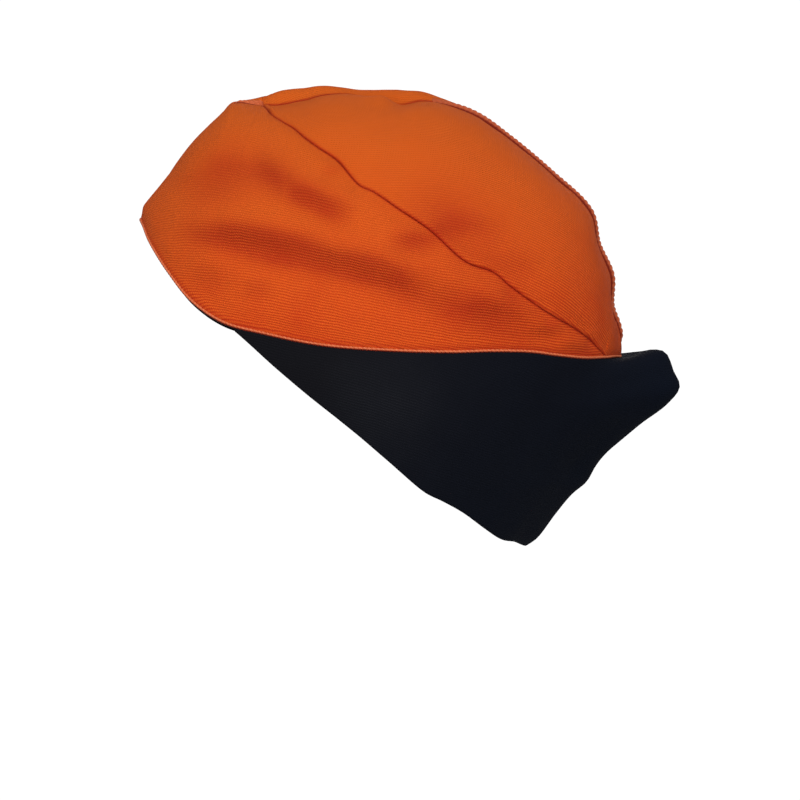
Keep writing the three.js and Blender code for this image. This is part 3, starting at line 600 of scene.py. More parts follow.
# One crown panel. Its rows run up from the low edge to the high one; the cloth is raised by its
# height, wrinkled, puckered beside its seams, and thinned to a round edge on both sides.
def makePanel(name, node, side, stations, lowUp, highUp, height, raisedEdge, wales, finishes):
    at, share = stations[:, None], acrossShares(cloth["edgeStops"], cloth["across"])
    low, high = lowUp(at), highUp(at)
    up = low + (high - low) * share
    plain, normal = panelPlace(at, up, side, height), crownNormal(at, up)
    flat = panelCut(stations, lowUp, highUp, side, height, wales, share)
    u, v = flat[..., 0], flat[..., 1]

    toHigh, alongHigh = fromEdge(plain, True)
    toLow, alongLow = fromEdge(plain, False)
    seed = 11 if side > 0 else 23
    patch = softNoise(u / cloth["broadSize"], v / cloth["broadSize"], seed)
    small = softNoise(u / cloth["smallSize"] / cloth["smallStretch"], v / cloth["smallSize"], seed + 1)
    free = offRim(at, up) * softStep(toHigh, 0, cloth["calmSeam"])
    detail = free * (cloth["broad"] * patch + cloth["small"] * small)
    drawn = np.where(at < cap["apexAt"], seam["front"], 1)
    sewn = drawn * softStep(aboveRim(at, up), 0, cloth["calmRim"])
    lowSeam = 0 if not raisedEdge else np.where(seamUp(at) > 0, 1, 0)
    for distance, gone, strength in ((toHigh, alongHigh, sewn), (toLow, alongLow, sewn * lowSeam)):
        wave = softNoise(gone / seam["puckerPitch"], distance / seam["puckerLength"], 5)
        reach = bell(distance, seam["puckerReach"]) * softStep(distance, 0, seam["puckerFrom"])
        detail += strength * seam["pucker"] * wave * reach
    shown, centre = seamShows(at, side), (at < creaseEnd) | raisedEdge
    if raisedEdge:
        detail += sewn * lowSeam * shown * seam["lip"] * bell(toLow - seam["lipAt"], seam["lipWidth"])
    turnSide = seam["turn"] * np.maximum(shown, 0.02)
    turnHigh = np.where(centre, seam["turn"], turnSide)
    rounding = edgeRound(toHigh, turnHigh) * edgeRound(toLow, np.where(raisedEdge, turnSide, seam["turn"]))
    thinned = (cap["wall"] * (1 - rounding) / 2)[..., None]
    outer = plain + normal * detail[..., None] - normal * thinned
    inner = plain + normal * (cloth["inside"] * detail - cap["wall"])[..., None] + normal * thinned
    edge = rounding[..., None] < 1e-6
    outer = np.where(edge, (outer + inner) / 2, outer)
    inner = np.where(edge, outer, inner)
    lap = seam["lap"] * np.where(centre, bell(toHigh, seam["lapReach"]), 0)
    tip = bell(at - creaseEnd, seam["tuckReach"]) * raisedEdge
    for grid in (outer, inner):
        grid[..., 0] = side * (np.maximum(grid[..., 0], 0) - lap)
        grid[..., 1] -= seam["tuck"][0] * tip
        grid[..., 2] -= seam["tuck"][1] * tip

    # Painted shade: a dark line in the seams' ditches and a soft dark just above the rolled edge
    inFront = (at > cap["apexAt"]) & (at < creaseEnd)
    broad = np.where(inFront, seam["apexShade"], seam["centreShade"][0 if side > 0 else 1])
    rolledOver = 1 - seam["rollHides"] * bell(at - seam["rollAt"], seam["rollWidth"])
    fades, dark = seam["shadeEdge"]
    inCentre = (1 - softStep(toHigh, fades * broad, dark * broad)) * rolledOver
    highShade = np.where(centre, inCentre, bell(toHigh, seam["ditchShade"]) * shown) * drawn
    lowShade = bell(toLow, seam["ditchShade"]) * drawn * shown * lowSeam
    atRim = seam["rimShade"] * (1 - lowSeam) * bell(toLow - seam["rimShadeAt"], seam["rimShadeWidth"])
    # Painted shade in the folds, thinned unevenly by noise
    uneven = (1 + folds["patchy"] * patch + folds["streaky"] * small) / folds["darkest"]
    paintedFoldShade = np.clip(foldHeight(crownBase(at, up), side)[1] * uneven, 0, 1)
    marks = {"paintedEdgeShade": np.maximum(np.maximum(highShade, lowShade), atRim), "paintedFoldShade": paintedFoldShade}
    piece = clothShell(name, outer, inner, finishes, flat, marks)
    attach(piece, "root")
    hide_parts(node)
    tellCut(name, flat, piece)
    return piece


# The panels' ends, how their rows crowd towards the apex, and where the photograph shows their
# wales: shares along and across, and degrees down towards the back
panels = {
    "tuck": 0.4,  # they end this far above the rim line, inside the rolled edge
    "rimEnd": 0.6, "pointEnd": 0.0005, "crowding": 1.4,
    "footFrom": 0.5, "footSteps": 4000,  # the seam's foot on the rim is looked for from here in this many steps
    "sideWales": (0.4, 0.45, 11), "topWales": (0.55, 0.3, 15),
}


def makeCrown(orange, lining):
    rimEnd, pointEnd = panels["rimEnd"] / middleLength, panels["pointEnd"]
    rimUp = lambda at: upAtHeight(at, panels["tuck"])
    test = np.linspace(panels["footFrom"], seamEnd, panels["footSteps"])[:, None]
    seamFoot = float(test[seamUp(test) > rimUp(test)].max())
    t = np.linspace(0, 1, cloth["along"]) ** panels["crowding"]
    seamStations = creaseEnd + pointEnd + (seamFoot - creaseEnd - 3 * pointEnd) * t
    sideStations = np.concatenate([creaseEnd + (rimEnd - creaseEnd) * t[::-3], seamStations])
    behind = np.linspace(seamFoot, 1 - rimEnd, cloth["along"] // 6)[1:]
    topStations = np.concatenate([seamStations, behind])
    sideTop = lambda at: np.where(at <= creaseEnd, 1, seamUp(at))
    topLow = lambda at: np.maximum(rimUp(at), seamUp(at))
    made = {}
    for word, side in (("Left", 1), ("Right", -1)):
        made["side" + word] = makePanel(
            "sidePanel" + word, "crown_side_" + word.lower(), side, sideStations, rimUp, sideTop, sideHeight,
            False, panels["sideWales"], (orange, lining))
        made["top" + word] = makePanel(
            "topPanel" + word, "crown_top_" + word.lower(), side, topStations, topLow, np.ones_like, topHeight,
            True, panels["topWales"], (orange, lining))
    return made


# Outward and upward directions of the rim, at shares of the whole loop
def rimFrame(turn):
    at = np.where(turn <= 0.5, turn * 2, (1 - turn) * 2)
    near = np.clip(at, 2 * probe, 1 - 2 * probe)
    up = middleLine(near) - rimAt(near)
    up[:, 0] = 0
    along = unit(rimLine((turn + 1e-4) % 1) - rimLine((turn - 1e-4) % 1))
    out = unit(np.cross(along, unit(up)))
    return rimLine(turn % 1), out, unit(np.cross(out, along))


# Carries a section of (outward, upward) millimetres round the rim
def rimRings(turn, section):
    centre, out, up = rimFrame(turn)
    return centre[:, None] + out[:, None] * section[..., :1] + up[:, None] * section[..., 1:]


edge = {
    "thick": 2.2, "high": 1.6, "steps": 2400, "around": 18,
    "toothPitch": 1.9, "tooth": 0.08, "twist": 2.4, "even": 0.6, "uneven": 0.4, "patches": 37,
}


# The rolled edge: an oval section whose thread teeth wind round it, a slanting wave on its radius
def makeRolledEdge(finish):
    turn = np.arange(edge["steps"]) / edge["steps"]
    angle = (np.arange(edge["around"]) * 2 * math.pi / edge["around"])[None]
    teeth = round(rimAround / edge["toothPitch"])
    wind = 2 * math.pi * turn[:, None] * teeth + edge["twist"] * np.sin(angle)
    ease = edge["even"] + edge["uneven"] * softNoise(turn[:, None] * edge["patches"], 0 * turn[:, None], 8)
    radius = (1 + edge["tooth"] * np.cos(wind) * ease) / 2
    across, upright = np.cos(angle) * radius * edge["thick"], np.sin(angle) * radius * edge["high"]
    section = np.stack([across - cap["wall"] / 2, upright], -1)
    # Marks for the material: the teeth's crests get a painted highlight, the lower half painted shade
    crest = 0.5 + 0.5 * np.cos(wind)
    under = softStep(-np.sin(angle), -0.1, 0.3) + 0 * crest
    marks = {"crest": crest, "under": under}
    piece = sweptPiece("rolledEdge", rimRings(turn, section), True, (finish,), marks)
    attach(piece, "root")
    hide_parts("rolled_edge")
    return piece


band = {"thick": 1.2, "high": 7.5, "lean": 1, "show": 1.3, "gap": 0.6, "steps": 600, "around": 7}


# The band inside the rim: a thin upright strip with round edges, leaning in towards its upper one
def makeInnerBand(finish):
    turn = np.arange(band["steps"]) / band["steps"]
    outer = -cap["wall"] / 2 - edge["thick"] / 2 - band["gap"]
    foot = -edge["high"] / 2 - band["show"]
    angle = np.linspace(0, math.pi, band["around"])
    radius = band["thick"] / 2
    arc = radius * np.stack([np.cos(angle), np.sin(angle)], 1)
    upper = arc + [outer - radius - band["lean"], foot + band["high"] - radius]
    lower = -arc + [outer - radius, foot + radius]
    section = np.concatenate([[[outer, 0]], upper, [[outer - band["thick"], 0]], lower])
    rings = rimRings(turn, np.broadcast_to(section, (len(turn), *section.shape)))
    piece = sweptPiece("innerBand", rings, True, (finish,))
    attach(piece, "root")
    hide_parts("inner_band")
    return piece


welt = {
    "start": 0.3, "width": 4,  # distance from the seam, and breadth
    "end": 0.985, "fadeIn": 0.01, "fadeOut": 0.02,  # shares along the middle line
    "high": 1.65, "fullness": 0.6, "ribPitch": 2.4, "rib": 0.25, "slant": 0.9, "shows": 0.3,
    "sunk": 0.5, "lift": 0.6, "foot": 0.55,  # its top lies this deep where hidden, and is lifted where it shows
    # dark and darkEdge: painted shade over the top behind the brow's crease, and the shares across over which
    # it fades from the edge by the seam
    "dark": 0.3, "darkEdge": (0.05, 0.25), "steps": 1100, "across": 14,
}

# How much of the welt stands out of the seam: share along, share of its height
weltTable = np.array([
    [0.2, 0.5], [0.235, 0.45], [0.256, 0.2], [0.262, 0],
    [0.49, 0], [0.525, 0.6], [0.56, 1], [0.96, 1], [1, 0.7],
])


# The welt: a raised strip on the right panels beside the centre seam, with slanting ribs. Its
# section is a sine's root over its width.
def makeWelt(finish):
    at = np.linspace(cap["apexAt"], welt["end"], welt["steps"])[:, None]
    q = np.linspace(0, 1, welt["across"])[None]
    ratio = np.clip((welt["start"] + q * welt["width"]) / np.maximum(rimAt(at)[..., 0], 1e-6), 0, 0.98)
    up = np.arccos(ratio ** (cap["squareness"] / 2)) * 2 / math.pi
    height = np.where(at < creaseEnd, sideHeight(at, up, -1), topHeight(at, up, -1))
    normal = crownNormal(at, np.ones_like(at))
    seat = crownBase(at, up) + crownNormal(at, up) * height[..., None]
    gone = (at - at[0]) * middleLength
    rib = np.cos(2 * math.pi * (gone + q * welt["width"] * welt["slant"]) / welt["ribPitch"])
    ends = softStep(at, at[0], at[0] + welt["fadeIn"]) * softStep(-at, -at[-1], -at[-1] + welt["fadeOut"])
    arch = np.maximum(np.sin(math.pi * q), 0) ** welt["fullness"]
    stands = columnAt(weltTable, 1, at)
    rise = arch * (welt["high"] + welt["rib"] * rib) * stands * ends
    shown = softStep(stands, 0, welt["shows"]) * softStep(ends, 0, welt["shows"])
    top = seat + normal * (welt["lift"] * shown - welt["sunk"] + rise)[..., None]
    foot = seat - normal * welt["foot"]
    rings = np.concatenate([top, foot[:, ::-1]], axis=1)
    rings[..., 0] *= -1
    # Marks for the material: a painted highlight on the ribs' crests, and painted shade on the foot, along the
    # edge by the centre seam, where the welt is hidden, and a little over the top behind the brow's crease
    crest = np.concatenate([(0.5 + 0.5 * rib) * arch * stands, 0 * rib], axis=1)
    dark = np.where(at < creaseEnd, 0, welt["dark"])
    over = np.maximum(np.maximum(1 - softStep(q, *welt["darkEdge"]), 1 - shown), dark) + 0 * rib
    under = np.concatenate([over, 1 + 0 * rib], axis=1)
    marks = {"crest": crest, "under": under}
    piece = sweptPiece("centreWelt", rings, False, (finish,), marks)
    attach(piece, "root")
    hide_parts("centre_welt")
    return piece


# Sizes of the flap
flap = {
    "wall": 2, "start": 0.318, "drop": 85, "inset": 42.6, "tailReach": 26.6, "tailDrop": 13.3,
    "tailSpread": 55, "tailRound": 6, "tailFade": 1.6, "swell": 3, "tip": 2, "tuck": 0.4, "crowding": 1.35,
    "steps": 380, "down": 52, "broad": 0.7, "broadSize": 30, "small": 0.15, "smallSize": 10, "calmTop": 14,
    "coarse": (61, 12), "wales": (0.2, 0.5, 20), "hemShade": 1.5,
    "edgeStops": [0, 0.001, 0.004, 0.009, 0.016, 0.026],
}

# The hem from the temple to its lowest point: share back, share of half rimWidth, share down
hemTable = np.array([
    [0, 0.876, 0], [0.065, 0.907, 0.07], [0.13, 0.932, 0.14], [0.26, 0.98, 0.275], [0.39, 1, 0.405],
    [0.516, 0.975, 0.54], [0.642, 0.894, 0.68], [0.7, 0.832, 0.722], [0.7725, 0.733, 0.781],
    [0.854, 0.584, 0.868], [0.91, 0.422, 0.929], [0.961, 0.224, 0.96], [1, 0, 1],
])

# The middle line from the nape point to the tail fold, in tailReach and tailDrop
tailTable = np.array([
    [0, 0], [0.19, -0.02], [0.48, -0.2], [0.72, -0.15], [0.81, 0.12], [0.88, 0.5], [0.97, 0.82],
])

# The same line from the tail fold down to the hem: share down, and off the straight in tailReach
keelTable = np.array([
    [0.015, 0.02], [0.1, 0.05], [0.25, -0.04], [0.43, -0.125], [0.52, -0.1], [0.6, -0.01],
    [0.68, -0.02], [0.8, 0.02], [0.93, 0.06], [1, 0],
])


def flapTop(half):
    centre, _, up = rimFrame((flap["start"] + (1 - flap["start"]) * half) / 2)
    return centre - up * (edge["high"] / 2 - flap["tuck"])


def makeHemAndKeel():
    start = flapTop(np.zeros(1))[0] - [0, 0, flap["tip"]]
    low = napePoint + [0, -flap["inset"], -flap["drop"]]
    hem = np.stack([
        hemTable[:, 1] * cap["rimWidth"] / 2, start[1] + (low[1] - start[1]) * hemTable[:, 0],
        start[2] + (low[2] - start[2]) * hemTable[:, 2],
    ], 1)
    hemLine, _ = smoothLine(np.concatenate([hem, hem[-2::-1] * [-1, 1, 1]]))
    top = flapTop(np.ones(1))[0]
    tail = napePoint + [0, flap["tailReach"], -flap["tailDrop"]]
    run = low - tail
    proud = unit(np.array([0, -run[2], run[1]]))
    over = top + tailTable[:, :1] * [0, flap["tailReach"], 0] + tailTable[:, 1:] * [0, 0, -flap["tailDrop"]]
    down = tail + keelTable[:, :1] * run + keelTable[:, 1:] * flap["tailReach"] * proud
    keelLine, _ = smoothLine(np.vstack([over, down]))
    return hemLine, keelLine, low


hemLine, keelLine, hemLow = makeHemAndKeel()


# The flap's surface: straight from the rim to the hem, bellied over the ear, and near the
# middle pushed out to the keel by a share that falls to nothing at tailSpread
def flapPlace(share, down):
    share, down = np.broadcast_arrays(share, down)
    half = np.where(share <= 1, share, 2 - share)
    top = flapTop(half[:, 0])[:, None]
    hem = hemLine(half[:, :1] / 2)
    chord = flapTop(np.ones(1)) + (hemLow - flapTop(np.ones(1))) * down[..., None]
    offMiddle = (1 - half) * (1 - flap["start"]) * rimAround / 2
    rounded = np.hypot(offMiddle, flap["tailRound"]) - flap["tailRound"]
    fade = np.clip(1 - rounded / flap["tailSpread"], 0, 1) ** flap["tailFade"]
    place = top + (hem - top) * down[..., None] + (keelLine(down) - chord) * fade[..., None]
    place[..., 0] += flap["swell"] * np.sin(math.pi * down) * np.sin(math.pi * half) ** 2 * (1 - fade)
    place[..., 0] *= np.where(share <= 1, 1, -1)
    return place


def flapNormal(share, down):
    low = np.clip(share - probe, 0, 2 - 2 * probe)
    near = np.clip(down - probe, 0, 1 - 2 * probe)
    alongway = flapPlace(low + 2 * probe, down) - flapPlace(low, down)
    below = flapPlace(share, near + 2 * probe) - flapPlace(share, near)
    return unit(np.cross(below, alongway))


# The flap: two layers turned in at a round hem, with soft waves
def makeFlap(outside, inside):
    t = np.linspace(-1, 1, flap["steps"])[:, None]
    crowd = lambda t: 1 + np.sign(t) * np.abs(t) ** flap["crowding"]
    share, down = crowd(t), acrossShares(flap["edgeStops"], flap["down"])
    plain, normal = flapPlace(share, down), flapNormal(share, down)
    rowCount, columnCount = flap["coarse"]
    coarse = flapPlace(crowd(np.linspace(-1, 1, rowCount)[:, None]), np.linspace(0, 1, columnCount)[None])
    flat = turnToWales(flatten(coarse), coarse, flap["wales"][:2], flap["wales"][2])
    flat = spreadOver(flat, (t[:, 0] + 1) * (rowCount - 1) / 2, down * (columnCount - 1))
    u, v = flat[..., 0], flat[..., 1]
    toTop, _ = fromEdge(plain, False)
    toHem, _ = fromEdge(plain, True)
    free = softStep(toTop, 0, flap["calmTop"])
    detail = free * flap["broad"] * softNoise(u / flap["broadSize"], v / flap["broadSize"], 31)
    detail += free * flap["small"] * softNoise(u / flap["smallSize"], v / flap["smallSize"], 32)
    rounding = edgeRound(toTop, flap["wall"] / 2) * edgeRound(toHem, flap["wall"] / 2)
    thinned = normal * (flap["wall"] * (1 - rounding) / 2)[..., None]
    outer = plain + normal * detail[..., None] - thinned
    inner = plain + normal * (detail - flap["wall"])[..., None] + thinned
    marks = {"paintedEdgeShade": bell(toHem, flap["hemShade"])}
    piece = clothShell("neckFlap", outer, inner, (outside, inside), flat, marks)
    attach(piece, "root")
    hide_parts("neck_flap")
    tellCut("neckFlap", flat, piece)
    return piece


# A colour given as it looks on a screen, 0 to 255, in the linear values that a shader takes
def seenColour(levels):
    levels = np.array(levels) / 255
    return (*np.where(levels <= 0.04045, levels / 12.92, ((levels + 0.055) / 1.055) ** 2.4).tolist(), 1)


# Small helpers for node trees: new nodes with their inputs set or linked, and their first output
class Tree:
    def __init__(self, tree):
        self.tree = tree

    def add(self, kind, inputs=None, **settings):
        made = self.tree.nodes.new(kind)
        for key, value in settings.items():
            setattr(made, key, value)
        for key, value in (inputs or {}).items():
            if isinstance(value, bpy.types.NodeSocket):
                self.tree.links.new(value, made.inputs[key])
            else:
                made.inputs[key].default_value = value
        return made

    def link(self, output, socket):
        self.tree.links.new(output, socket)

    def maths(self, operation, first, second=0.0, third=0.0):
        return self.add("ShaderNodeMath", {0: first, 1: second, 2: third}, operation=operation).outputs[0]

    def ramp(self, value, fromRange, toRange):
        inputs = {0: value, 1: fromRange[0], 2: fromRange[1], 3: toRange[0], 4: toRange[1]}
        return self.add("ShaderNodeMapRange", inputs).outputs[0]

    def mark(self, name):
        return self.add("ShaderNodeAttribute", attribute_name=name).outputs["Fac"]

    def mix(self, share, *colours):
        first, second = (seenColour(c) if isinstance(c, tuple) else c for c in colours)
        return self.add("ShaderNodeMix", {0: share, 6: first, 7: second}, data_type="RGBA").outputs[2]

    def noise(self, vector, scale, detail=2.0, roughness=0.5):
        inputs = {"Vector": vector, "Scale": scale, "Detail": detail, "Roughness": roughness}
        return self.add("ShaderNodeTexNoise", inputs).outputs["Fac"]


def newGroup(name, inputs, outputs):
    group = bpy.data.node_groups.new(name, "ShaderNodeTree")
    for key, value in inputs.items():
        kind = "NodeSocketVector" if key == "Vector" else "NodeSocketFloat"
        socket = group.interface.new_socket(name=key, in_out="INPUT", socket_type=kind)
        if value is not None:
            socket.default_value = value
    for key in outputs:
        group.interface.new_socket(name=key, in_out="OUTPUT", socket_type="NodeSocketFloat")
    tree = Tree(group)
    return group, tree, tree.add("NodeGroupInput").outputs, tree.add("NodeGroupOutput").inputs


# Twill: ridges across the v axis that wander a little, each broken into slanting floats.
# Height is the ridge's sine times the floats' sine, with fibre noise on top; all in millimetres.
def makeTwillGroup():
    group, tree, given, out = newGroup(
        "twillWeave", {"Vector": None, "Pitch": 1.2, "Float": 1.1, "Slant": 0.8, "Wander": 1.4, "Fuzz": 0.4},
        ("Height",))
    axes = tree.add("ShaderNodeSeparateXYZ", {0: given["Vector"]}).outputs
    sway = tree.maths("SUBTRACT", tree.noise(given["Vector"], 0.09), 0.5)
    across = tree.maths("ADD", axes[1], tree.maths("MULTIPLY", sway, given["Wander"]))
    turn = tree.maths("MULTIPLY", tree.maths("DIVIDE", across, given["Pitch"]), 2 * math.pi)
    ridge = tree.maths("MULTIPLY_ADD", tree.maths("SINE", turn), 0.5, 0.5)
    slanted = tree.maths("MULTIPLY_ADD", across, given["Slant"], axes[0])
    turn = tree.maths("MULTIPLY", tree.maths("DIVIDE", slanted, given["Float"]), 2 * math.pi)
    floats = tree.maths("MULTIPLY_ADD", tree.maths("SINE", turn), 0.3, 0.7)
    fibre = tree.noise(given["Vector"], 2.2, 3.0, 0.6)
    patch = tree.ramp(tree.noise(given["Vector"], 0.06), (0.3, 0.65), (0.45, 1.0))
    weave = tree.maths("MULTIPLY", tree.maths("MULTIPLY", ridge, floats), patch)
    tree.link(tree.maths("MULTIPLY_ADD", fibre, given["Fuzz"], weave), out["Height"])
    return group


# Uneven dye and handling: broad and small patches that vary over the piece, each from 0 to 1
def makeMottleGroup():
    group, tree, given, out = newGroup("softMottle", {"Vector": None, "Size": 20.0}, ("Broad", "Small"))
    broad = tree.noise(given["Vector"], given["Size"], 2.0)
    small = tree.noise(given["Vector"], tree.maths("MULTIPLY", given["Size"], 7.0), 3.0, 0.6)
    tree.link(broad, out["Broad"])
    tree.link(small, out["Small"])
    return group


def newMaterial(name, colour):
    material = bpy.data.materials.new(name)
    material.use_nodes = True
    material.diffuse_color = seenColour(colour)
    return material, Tree(material.node_tree), material.node_tree.nodes["Principled BSDF"]


# Colours as seen; depths, heights and places in metres
tone = {"middle": 0.4, "contrast": 2.0, "even": 0.5, "dye": (0.5, -0.25)}  # of ridges against gaps
orangeLook = {
    "light": (222, 87, 22), "deep": (178, 45, 8), "worn": (222, 118, 72),
    # seam is the colour of the painted shade in the seams' ditches and above the rolled edge
    "seam": (158, 30, 6), "seamShadeShare": 0.85,
    "paintedFoldShade": (158, 30, 8), "paintedFoldShadeShare": 0.68, "gapsFirst": -0.7,  # painted shade in the folds; in it the weave's gaps darken first
    # painted light: the top lighter and more yellow, more so higher up
    "paintedTopLight": (206, 104, 24), "paintedTopLightFades": (-0.01, 0.085), "paintedTopLightShare": (0.0, 0.5),
    "weave": (1.0, 0.3), "weaveFades": (0.0, 0.06),  # strength low down and on top, and between which heights
    "pitch": 1.15, "bump": 0.7, "depth": 0.00045, "rough": (0.14, 0.78),
    "gloss": 0.15, "sheen": 0.06, "sheenTint": (255, 150, 90), "sheenRough": 0.4,
}
blackLook = {
    "light": (20, 20, 25), "deep": (11, 11, 15),
    "navy": (8, 16, 30), "navyBack": 6.0, "navyUp": -4.0, "navyShare": 0.75,  # more further back and down
    "paintedSheen": (27, 28, 33), "paintedSheenAt": (0.085, 0.002, 0.046), "paintedSheenReach": 0.03,  # a painted sheen, on either side
    "weave": (0.3, 0.3), "weaveFades": (-0.1, 0.1),
    "pitch": 1.1, "bump": 0.4, "depth": 0.0004, "rough": (0.14, 0.78),
    "gloss": 0.06, "sheen": 0.012, "sheenTint": (200, 205, 225), "sheenRough": 0.35,
}
edgeLook = {
    # light is the pale of a painted highlight on the crests; under is painted shade
    "light": (228, 130, 88), "deep": (192, 78, 36), "under": (120, 30, 12),
    "crest": 0.45, "mottle": 0.5, "fibre": 2600.0,
    "bump": 0.5, "depth": 0.0003, "rough": (0.15, 0.75),
    "gloss": 0.15, "sheen": 0.08, "sheenTint": (255, 200, 170), "sheenRough": 0.4,
}


# Wires a cloth's colour, roughness and bump, and sets how it shines and the soft light on its fibres
def finishCloth(tree, shader, look, colour, patches, height):
    rough = tree.maths("MULTIPLY_ADD", patches, *look["rough"])
    bump = tree.add("ShaderNodeBump", {"Strength": look["bump"], "Distance": look["depth"], "Height": height})
    for socket, value in (("Base Color", colour), ("Roughness", rough), ("Normal", bump.outputs[0])):
        tree.link(value, shader.inputs[socket])
    shader.inputs["Specular IOR Level"].default_value = look["gloss"]
    shader.inputs["Sheen Weight"].default_value = look["sheen"]
    shader.inputs["Sheen Roughness"].default_value = look["sheenRough"]
    shader.inputs["Sheen Tint"].default_value = seenColour(look["sheenTint"])


# Twill cloth: ridges lighter than the gaps between them, uneven dye, and painted light: shade in the folds and
# the seams' ditches, a lighter top, and a sheen patch on the black
def makeTwill(name, look, twill, mottle, worn=0.0):
    material, tree, shader = newMaterial(name, look["light"])
    cut = tree.add("ShaderNodeUVMap", uv_map="cut").outputs[0]
    weave = tree.add("ShaderNodeGroup", node_tree=twill)
    tree.link(cut, weave.inputs["Vector"])
    weave.inputs["Pitch"].default_value = look["pitch"]
    relief = weave.outputs["Height"]
    place = tree.add("ShaderNodeTexCoord").outputs["Object"]
    patches = tree.add("ShaderNodeGroup", {"Vector": place}, node_tree=mottle).outputs
    _, back, height = tree.add("ShaderNodeSeparateXYZ", {0: place}).outputs
    strength = tree.ramp(height, look["weaveFades"], look["weave"])
    ridge = tree.maths("MULTIPLY", tree.maths("SUBTRACT", relief, tone["middle"]), strength)
    share = tree.maths("MULTIPLY_ADD", ridge, tone["contrast"], tone["even"])
    share = tree.maths("ADD", share, tree.maths("MULTIPLY_ADD", patches["Broad"], *tone["dye"]))
    share = tree.maths("MINIMUM", tree.maths("MAXIMUM", share, 0.0), 1.0)
    colour = tree.mix(share, look["deep"], look["light"])
    if "navy" in look:
        lower = tree.maths("MULTIPLY", height, look["navyUp"])
        reach = tree.maths("ADD", tree.maths("MULTIPLY", back, look["navyBack"]), lower)
        reach = tree.add("ShaderNodeClamp", {0: reach}).outputs[0]
        colour = tree.mix(tree.maths("MULTIPLY", reach, look["navyShare"]), colour, look["navy"])
        # Painted sheen on either side, over the ear, lighter on the weave's ridges
        eitherSide = tree.add("ShaderNodeVectorMath", {0: place}, operation="ABSOLUTE").outputs[0]
        away = tree.add("ShaderNodeVectorMath", {0: eitherSide, 1: look["paintedSheenAt"]}, operation="DISTANCE")
        paintedSheenMask = tree.ramp(away.outputs["Value"], (0.0, look["paintedSheenReach"]), (1.0, 0.0))
        colour = tree.mix(tree.maths("MULTIPLY", paintedSheenMask, relief), colour, look["paintedSheen"])
    # Painted light: the top lighter and more yellow, rising with height
    if "paintedTopLight" in look:
        colour = tree.mix(tree.ramp(height, look["paintedTopLightFades"], look["paintedTopLightShare"]), colour, look["paintedTopLight"])
    # Painted shade in the folds, deeper in the weave's gaps
    if "paintedFoldShade" in look:
        shade = tree.maths("MULTIPLY_ADD", ridge, look["gapsFirst"], look["paintedFoldShadeShare"])
        colour = tree.mix(tree.maths("MULTIPLY", tree.mark("paintedFoldShade"), shade), colour, look["paintedFoldShade"])
    # Painted shade in the seams' ditches and above the rolled edge
    if "seam" in look:
        ditchShade = tree.maths("MULTIPLY", tree.mark("paintedEdgeShade"), look["seamShadeShare"])
        colour = tree.mix(ditchShade, colour, look["seam"])
    if worn:
        colour = tree.mix(worn, colour, look["worn"])
    finishCloth(tree, shader, look, colour, patches["Small"], relief)
    return material


# Rolled edge and welt: pale threads on the crests, a painted highlight, darker between them, with random pale
# patches, and painted shade on the underside
def makeEdgeCloth(look, mottle):
    material, tree, shader = newMaterial("edgeTwill", look["light"])
    place = tree.add("ShaderNodeTexCoord").outputs["Object"]
    patches = tree.add("ShaderNodeGroup", {"Vector": place, "Size": 60.0}, node_tree=mottle).outputs
    worn = tree.maths("MULTIPLY", patches["Small"], look["mottle"])
    share = tree.maths("MULTIPLY_ADD", tree.mark("crest"), look["crest"], worn)
    # Painted shade on the underside
    colour = tree.mix(tree.mark("under"), tree.mix(share, look["deep"], look["light"]), look["under"])
    finishCloth(tree, shader, look, colour, patches["Broad"], tree.noise(place, look["fibre"], 3.0, 0.6))
    return material


twill, mottle = makeTwillGroup(), makeMottleGroup()
orange = makeTwill("orangeTwill", orangeLook, twill, mottle)
orangeBack = makeTwill("orangeTwillBack", orangeLook, twill, mottle, worn=0.25)
black = makeTwill("blackTwill", blackLook, twill, mottle)
edgeCloth = makeEdgeCloth(edgeLook, mottle)
print("materials made")

crownPieces = makeCrown(orange, orangeBack)
rolledEdge = makeRolledEdge(edgeCloth)
innerBand = makeInnerBand(black)
centreWelt = makeWelt(edgeCloth)
neckFlap = makeFlap(black, black)
print("cap made")

# Room: a wide pale floor well below the cap, and soft light from the camera's side and above.
# Floor and world look white, and light the cap less than they show.
room = {
    "floorZ": -0.3, "floorReach": 30, "floor": (180, 180, 180), "floorRough": 0.9,
    "white": (1, 1, 1, 1), "shown": 1.05, "world": 0.25,
}
lamps = {
    "key": {"at": (1.65, -0.05, 1.35), "size": 0.8, "power": 23},
    "fill": {"at": (2.0, -0.25, -0.1), "size": 1.0, "power": 22},
    "front": {"at": (0.3, -1.7, 0.9), "size": 1.0, "power": 3},
    "rear": {"at": (0.1, 1.6, 1.2), "size": 1.0, "power": 6},
    "far": {"at": (-1.8, 0.3, 0.3), "size": 1.0, "power": 5},
}


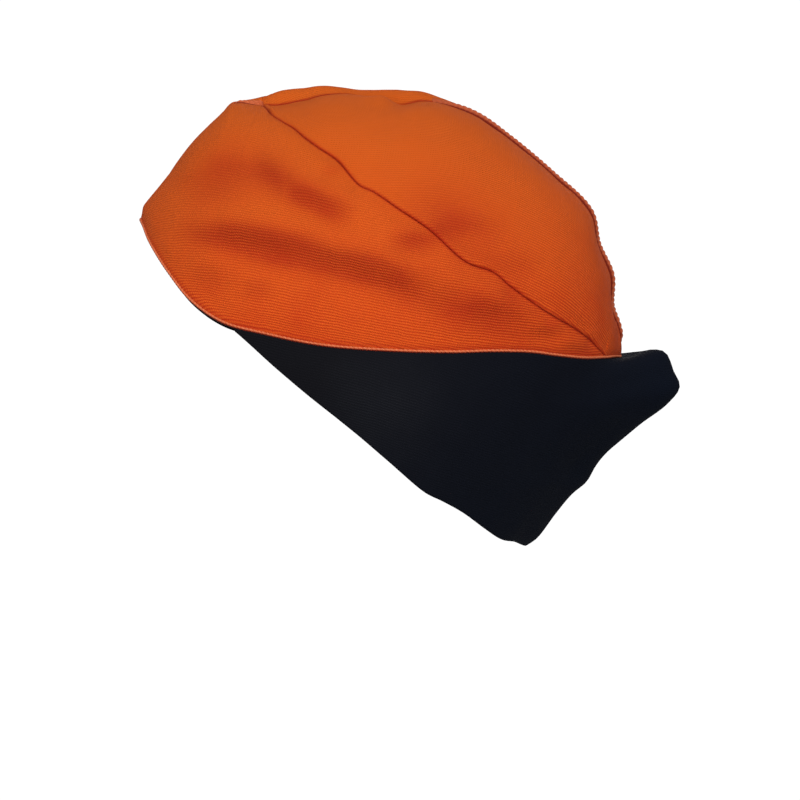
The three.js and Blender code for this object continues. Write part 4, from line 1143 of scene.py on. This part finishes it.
# A mix of a white that the camera sees with the shader that every other ray meets
def whiteToCamera(tree, shader, whiteKind):
    seen = tree.add("ShaderNodeLightPath").outputs["Is Camera Ray"]
    white = tree.add(whiteKind, {0: room["white"], 1: room["shown"]})
    return tree.add("ShaderNodeMixShader", {0: seen, 1: shader.outputs[0], 2: white.outputs[0]}).outputs[0]


# The floor is clear from below, so that the cap can be looked at from there
def makeFloor():
    reach, z = room["floorReach"], room["floorZ"]
    corners = [(-reach, -reach, z), (reach, -reach, z), (reach, reach, z), (-reach, reach, z)]
    mesh = bpy.data.meshes.new("floor")
    mesh.from_pydata(corners, [], [(0, 1, 2, 3)])
    floor = bpy.data.objects.new("floor", mesh)
    bpy.context.scene.collection.objects.link(floor)
    material, tree, shader = newMaterial("paleFloor", room["floor"])
    shader.inputs["Base Color"].default_value = seenColour(room["floor"])
    shader.inputs["Roughness"].default_value = room["floorRough"]
    shader.inputs["Specular IOR Level"].default_value = 0
    surface = whiteToCamera(tree, shader, "ShaderNodeEmission")
    fromBelow = tree.add("ShaderNodeNewGeometry").outputs["Backfacing"]
    clear = tree.add("ShaderNodeBsdfTransparent").outputs[0]
    both = tree.add("ShaderNodeMixShader", {0: fromBelow, 1: surface, 2: clear})
    tree.link(both.outputs[0], material.node_tree.nodes["Material Output"].inputs[0])
    mesh.materials.append(material)


def makeRoom():
    world = bpy.data.worlds.new("paleRoom")
    world.use_nodes = True
    tree, dim = Tree(world.node_tree), world.node_tree.nodes["Background"]
    dim.inputs[0].default_value = room["white"]
    dim.inputs[1].default_value = room["world"]
    white = whiteToCamera(tree, dim, "ShaderNodeBackground")
    tree.link(white, world.node_tree.nodes["World Output"].inputs[0])
    bpy.context.scene.world = world
    for name, lamp in lamps.items():
        data = bpy.data.lights.new(name, "AREA")
        data.size, data.energy = lamp["size"], lamp["power"]
        light = bpy.data.objects.new(name, data)
        light.location = lamp["at"]
        away = Vector(lamp["at"]) - Vector(shot["aim"])
        light.rotation_euler = away.to_track_quat("Z", "Y").to_euler()
        bpy.context.scene.collection.objects.link(light)


makeFloor()
makeRoom()
bpy.context.scene.view_settings.view_transform = "Standard"
print("room made")
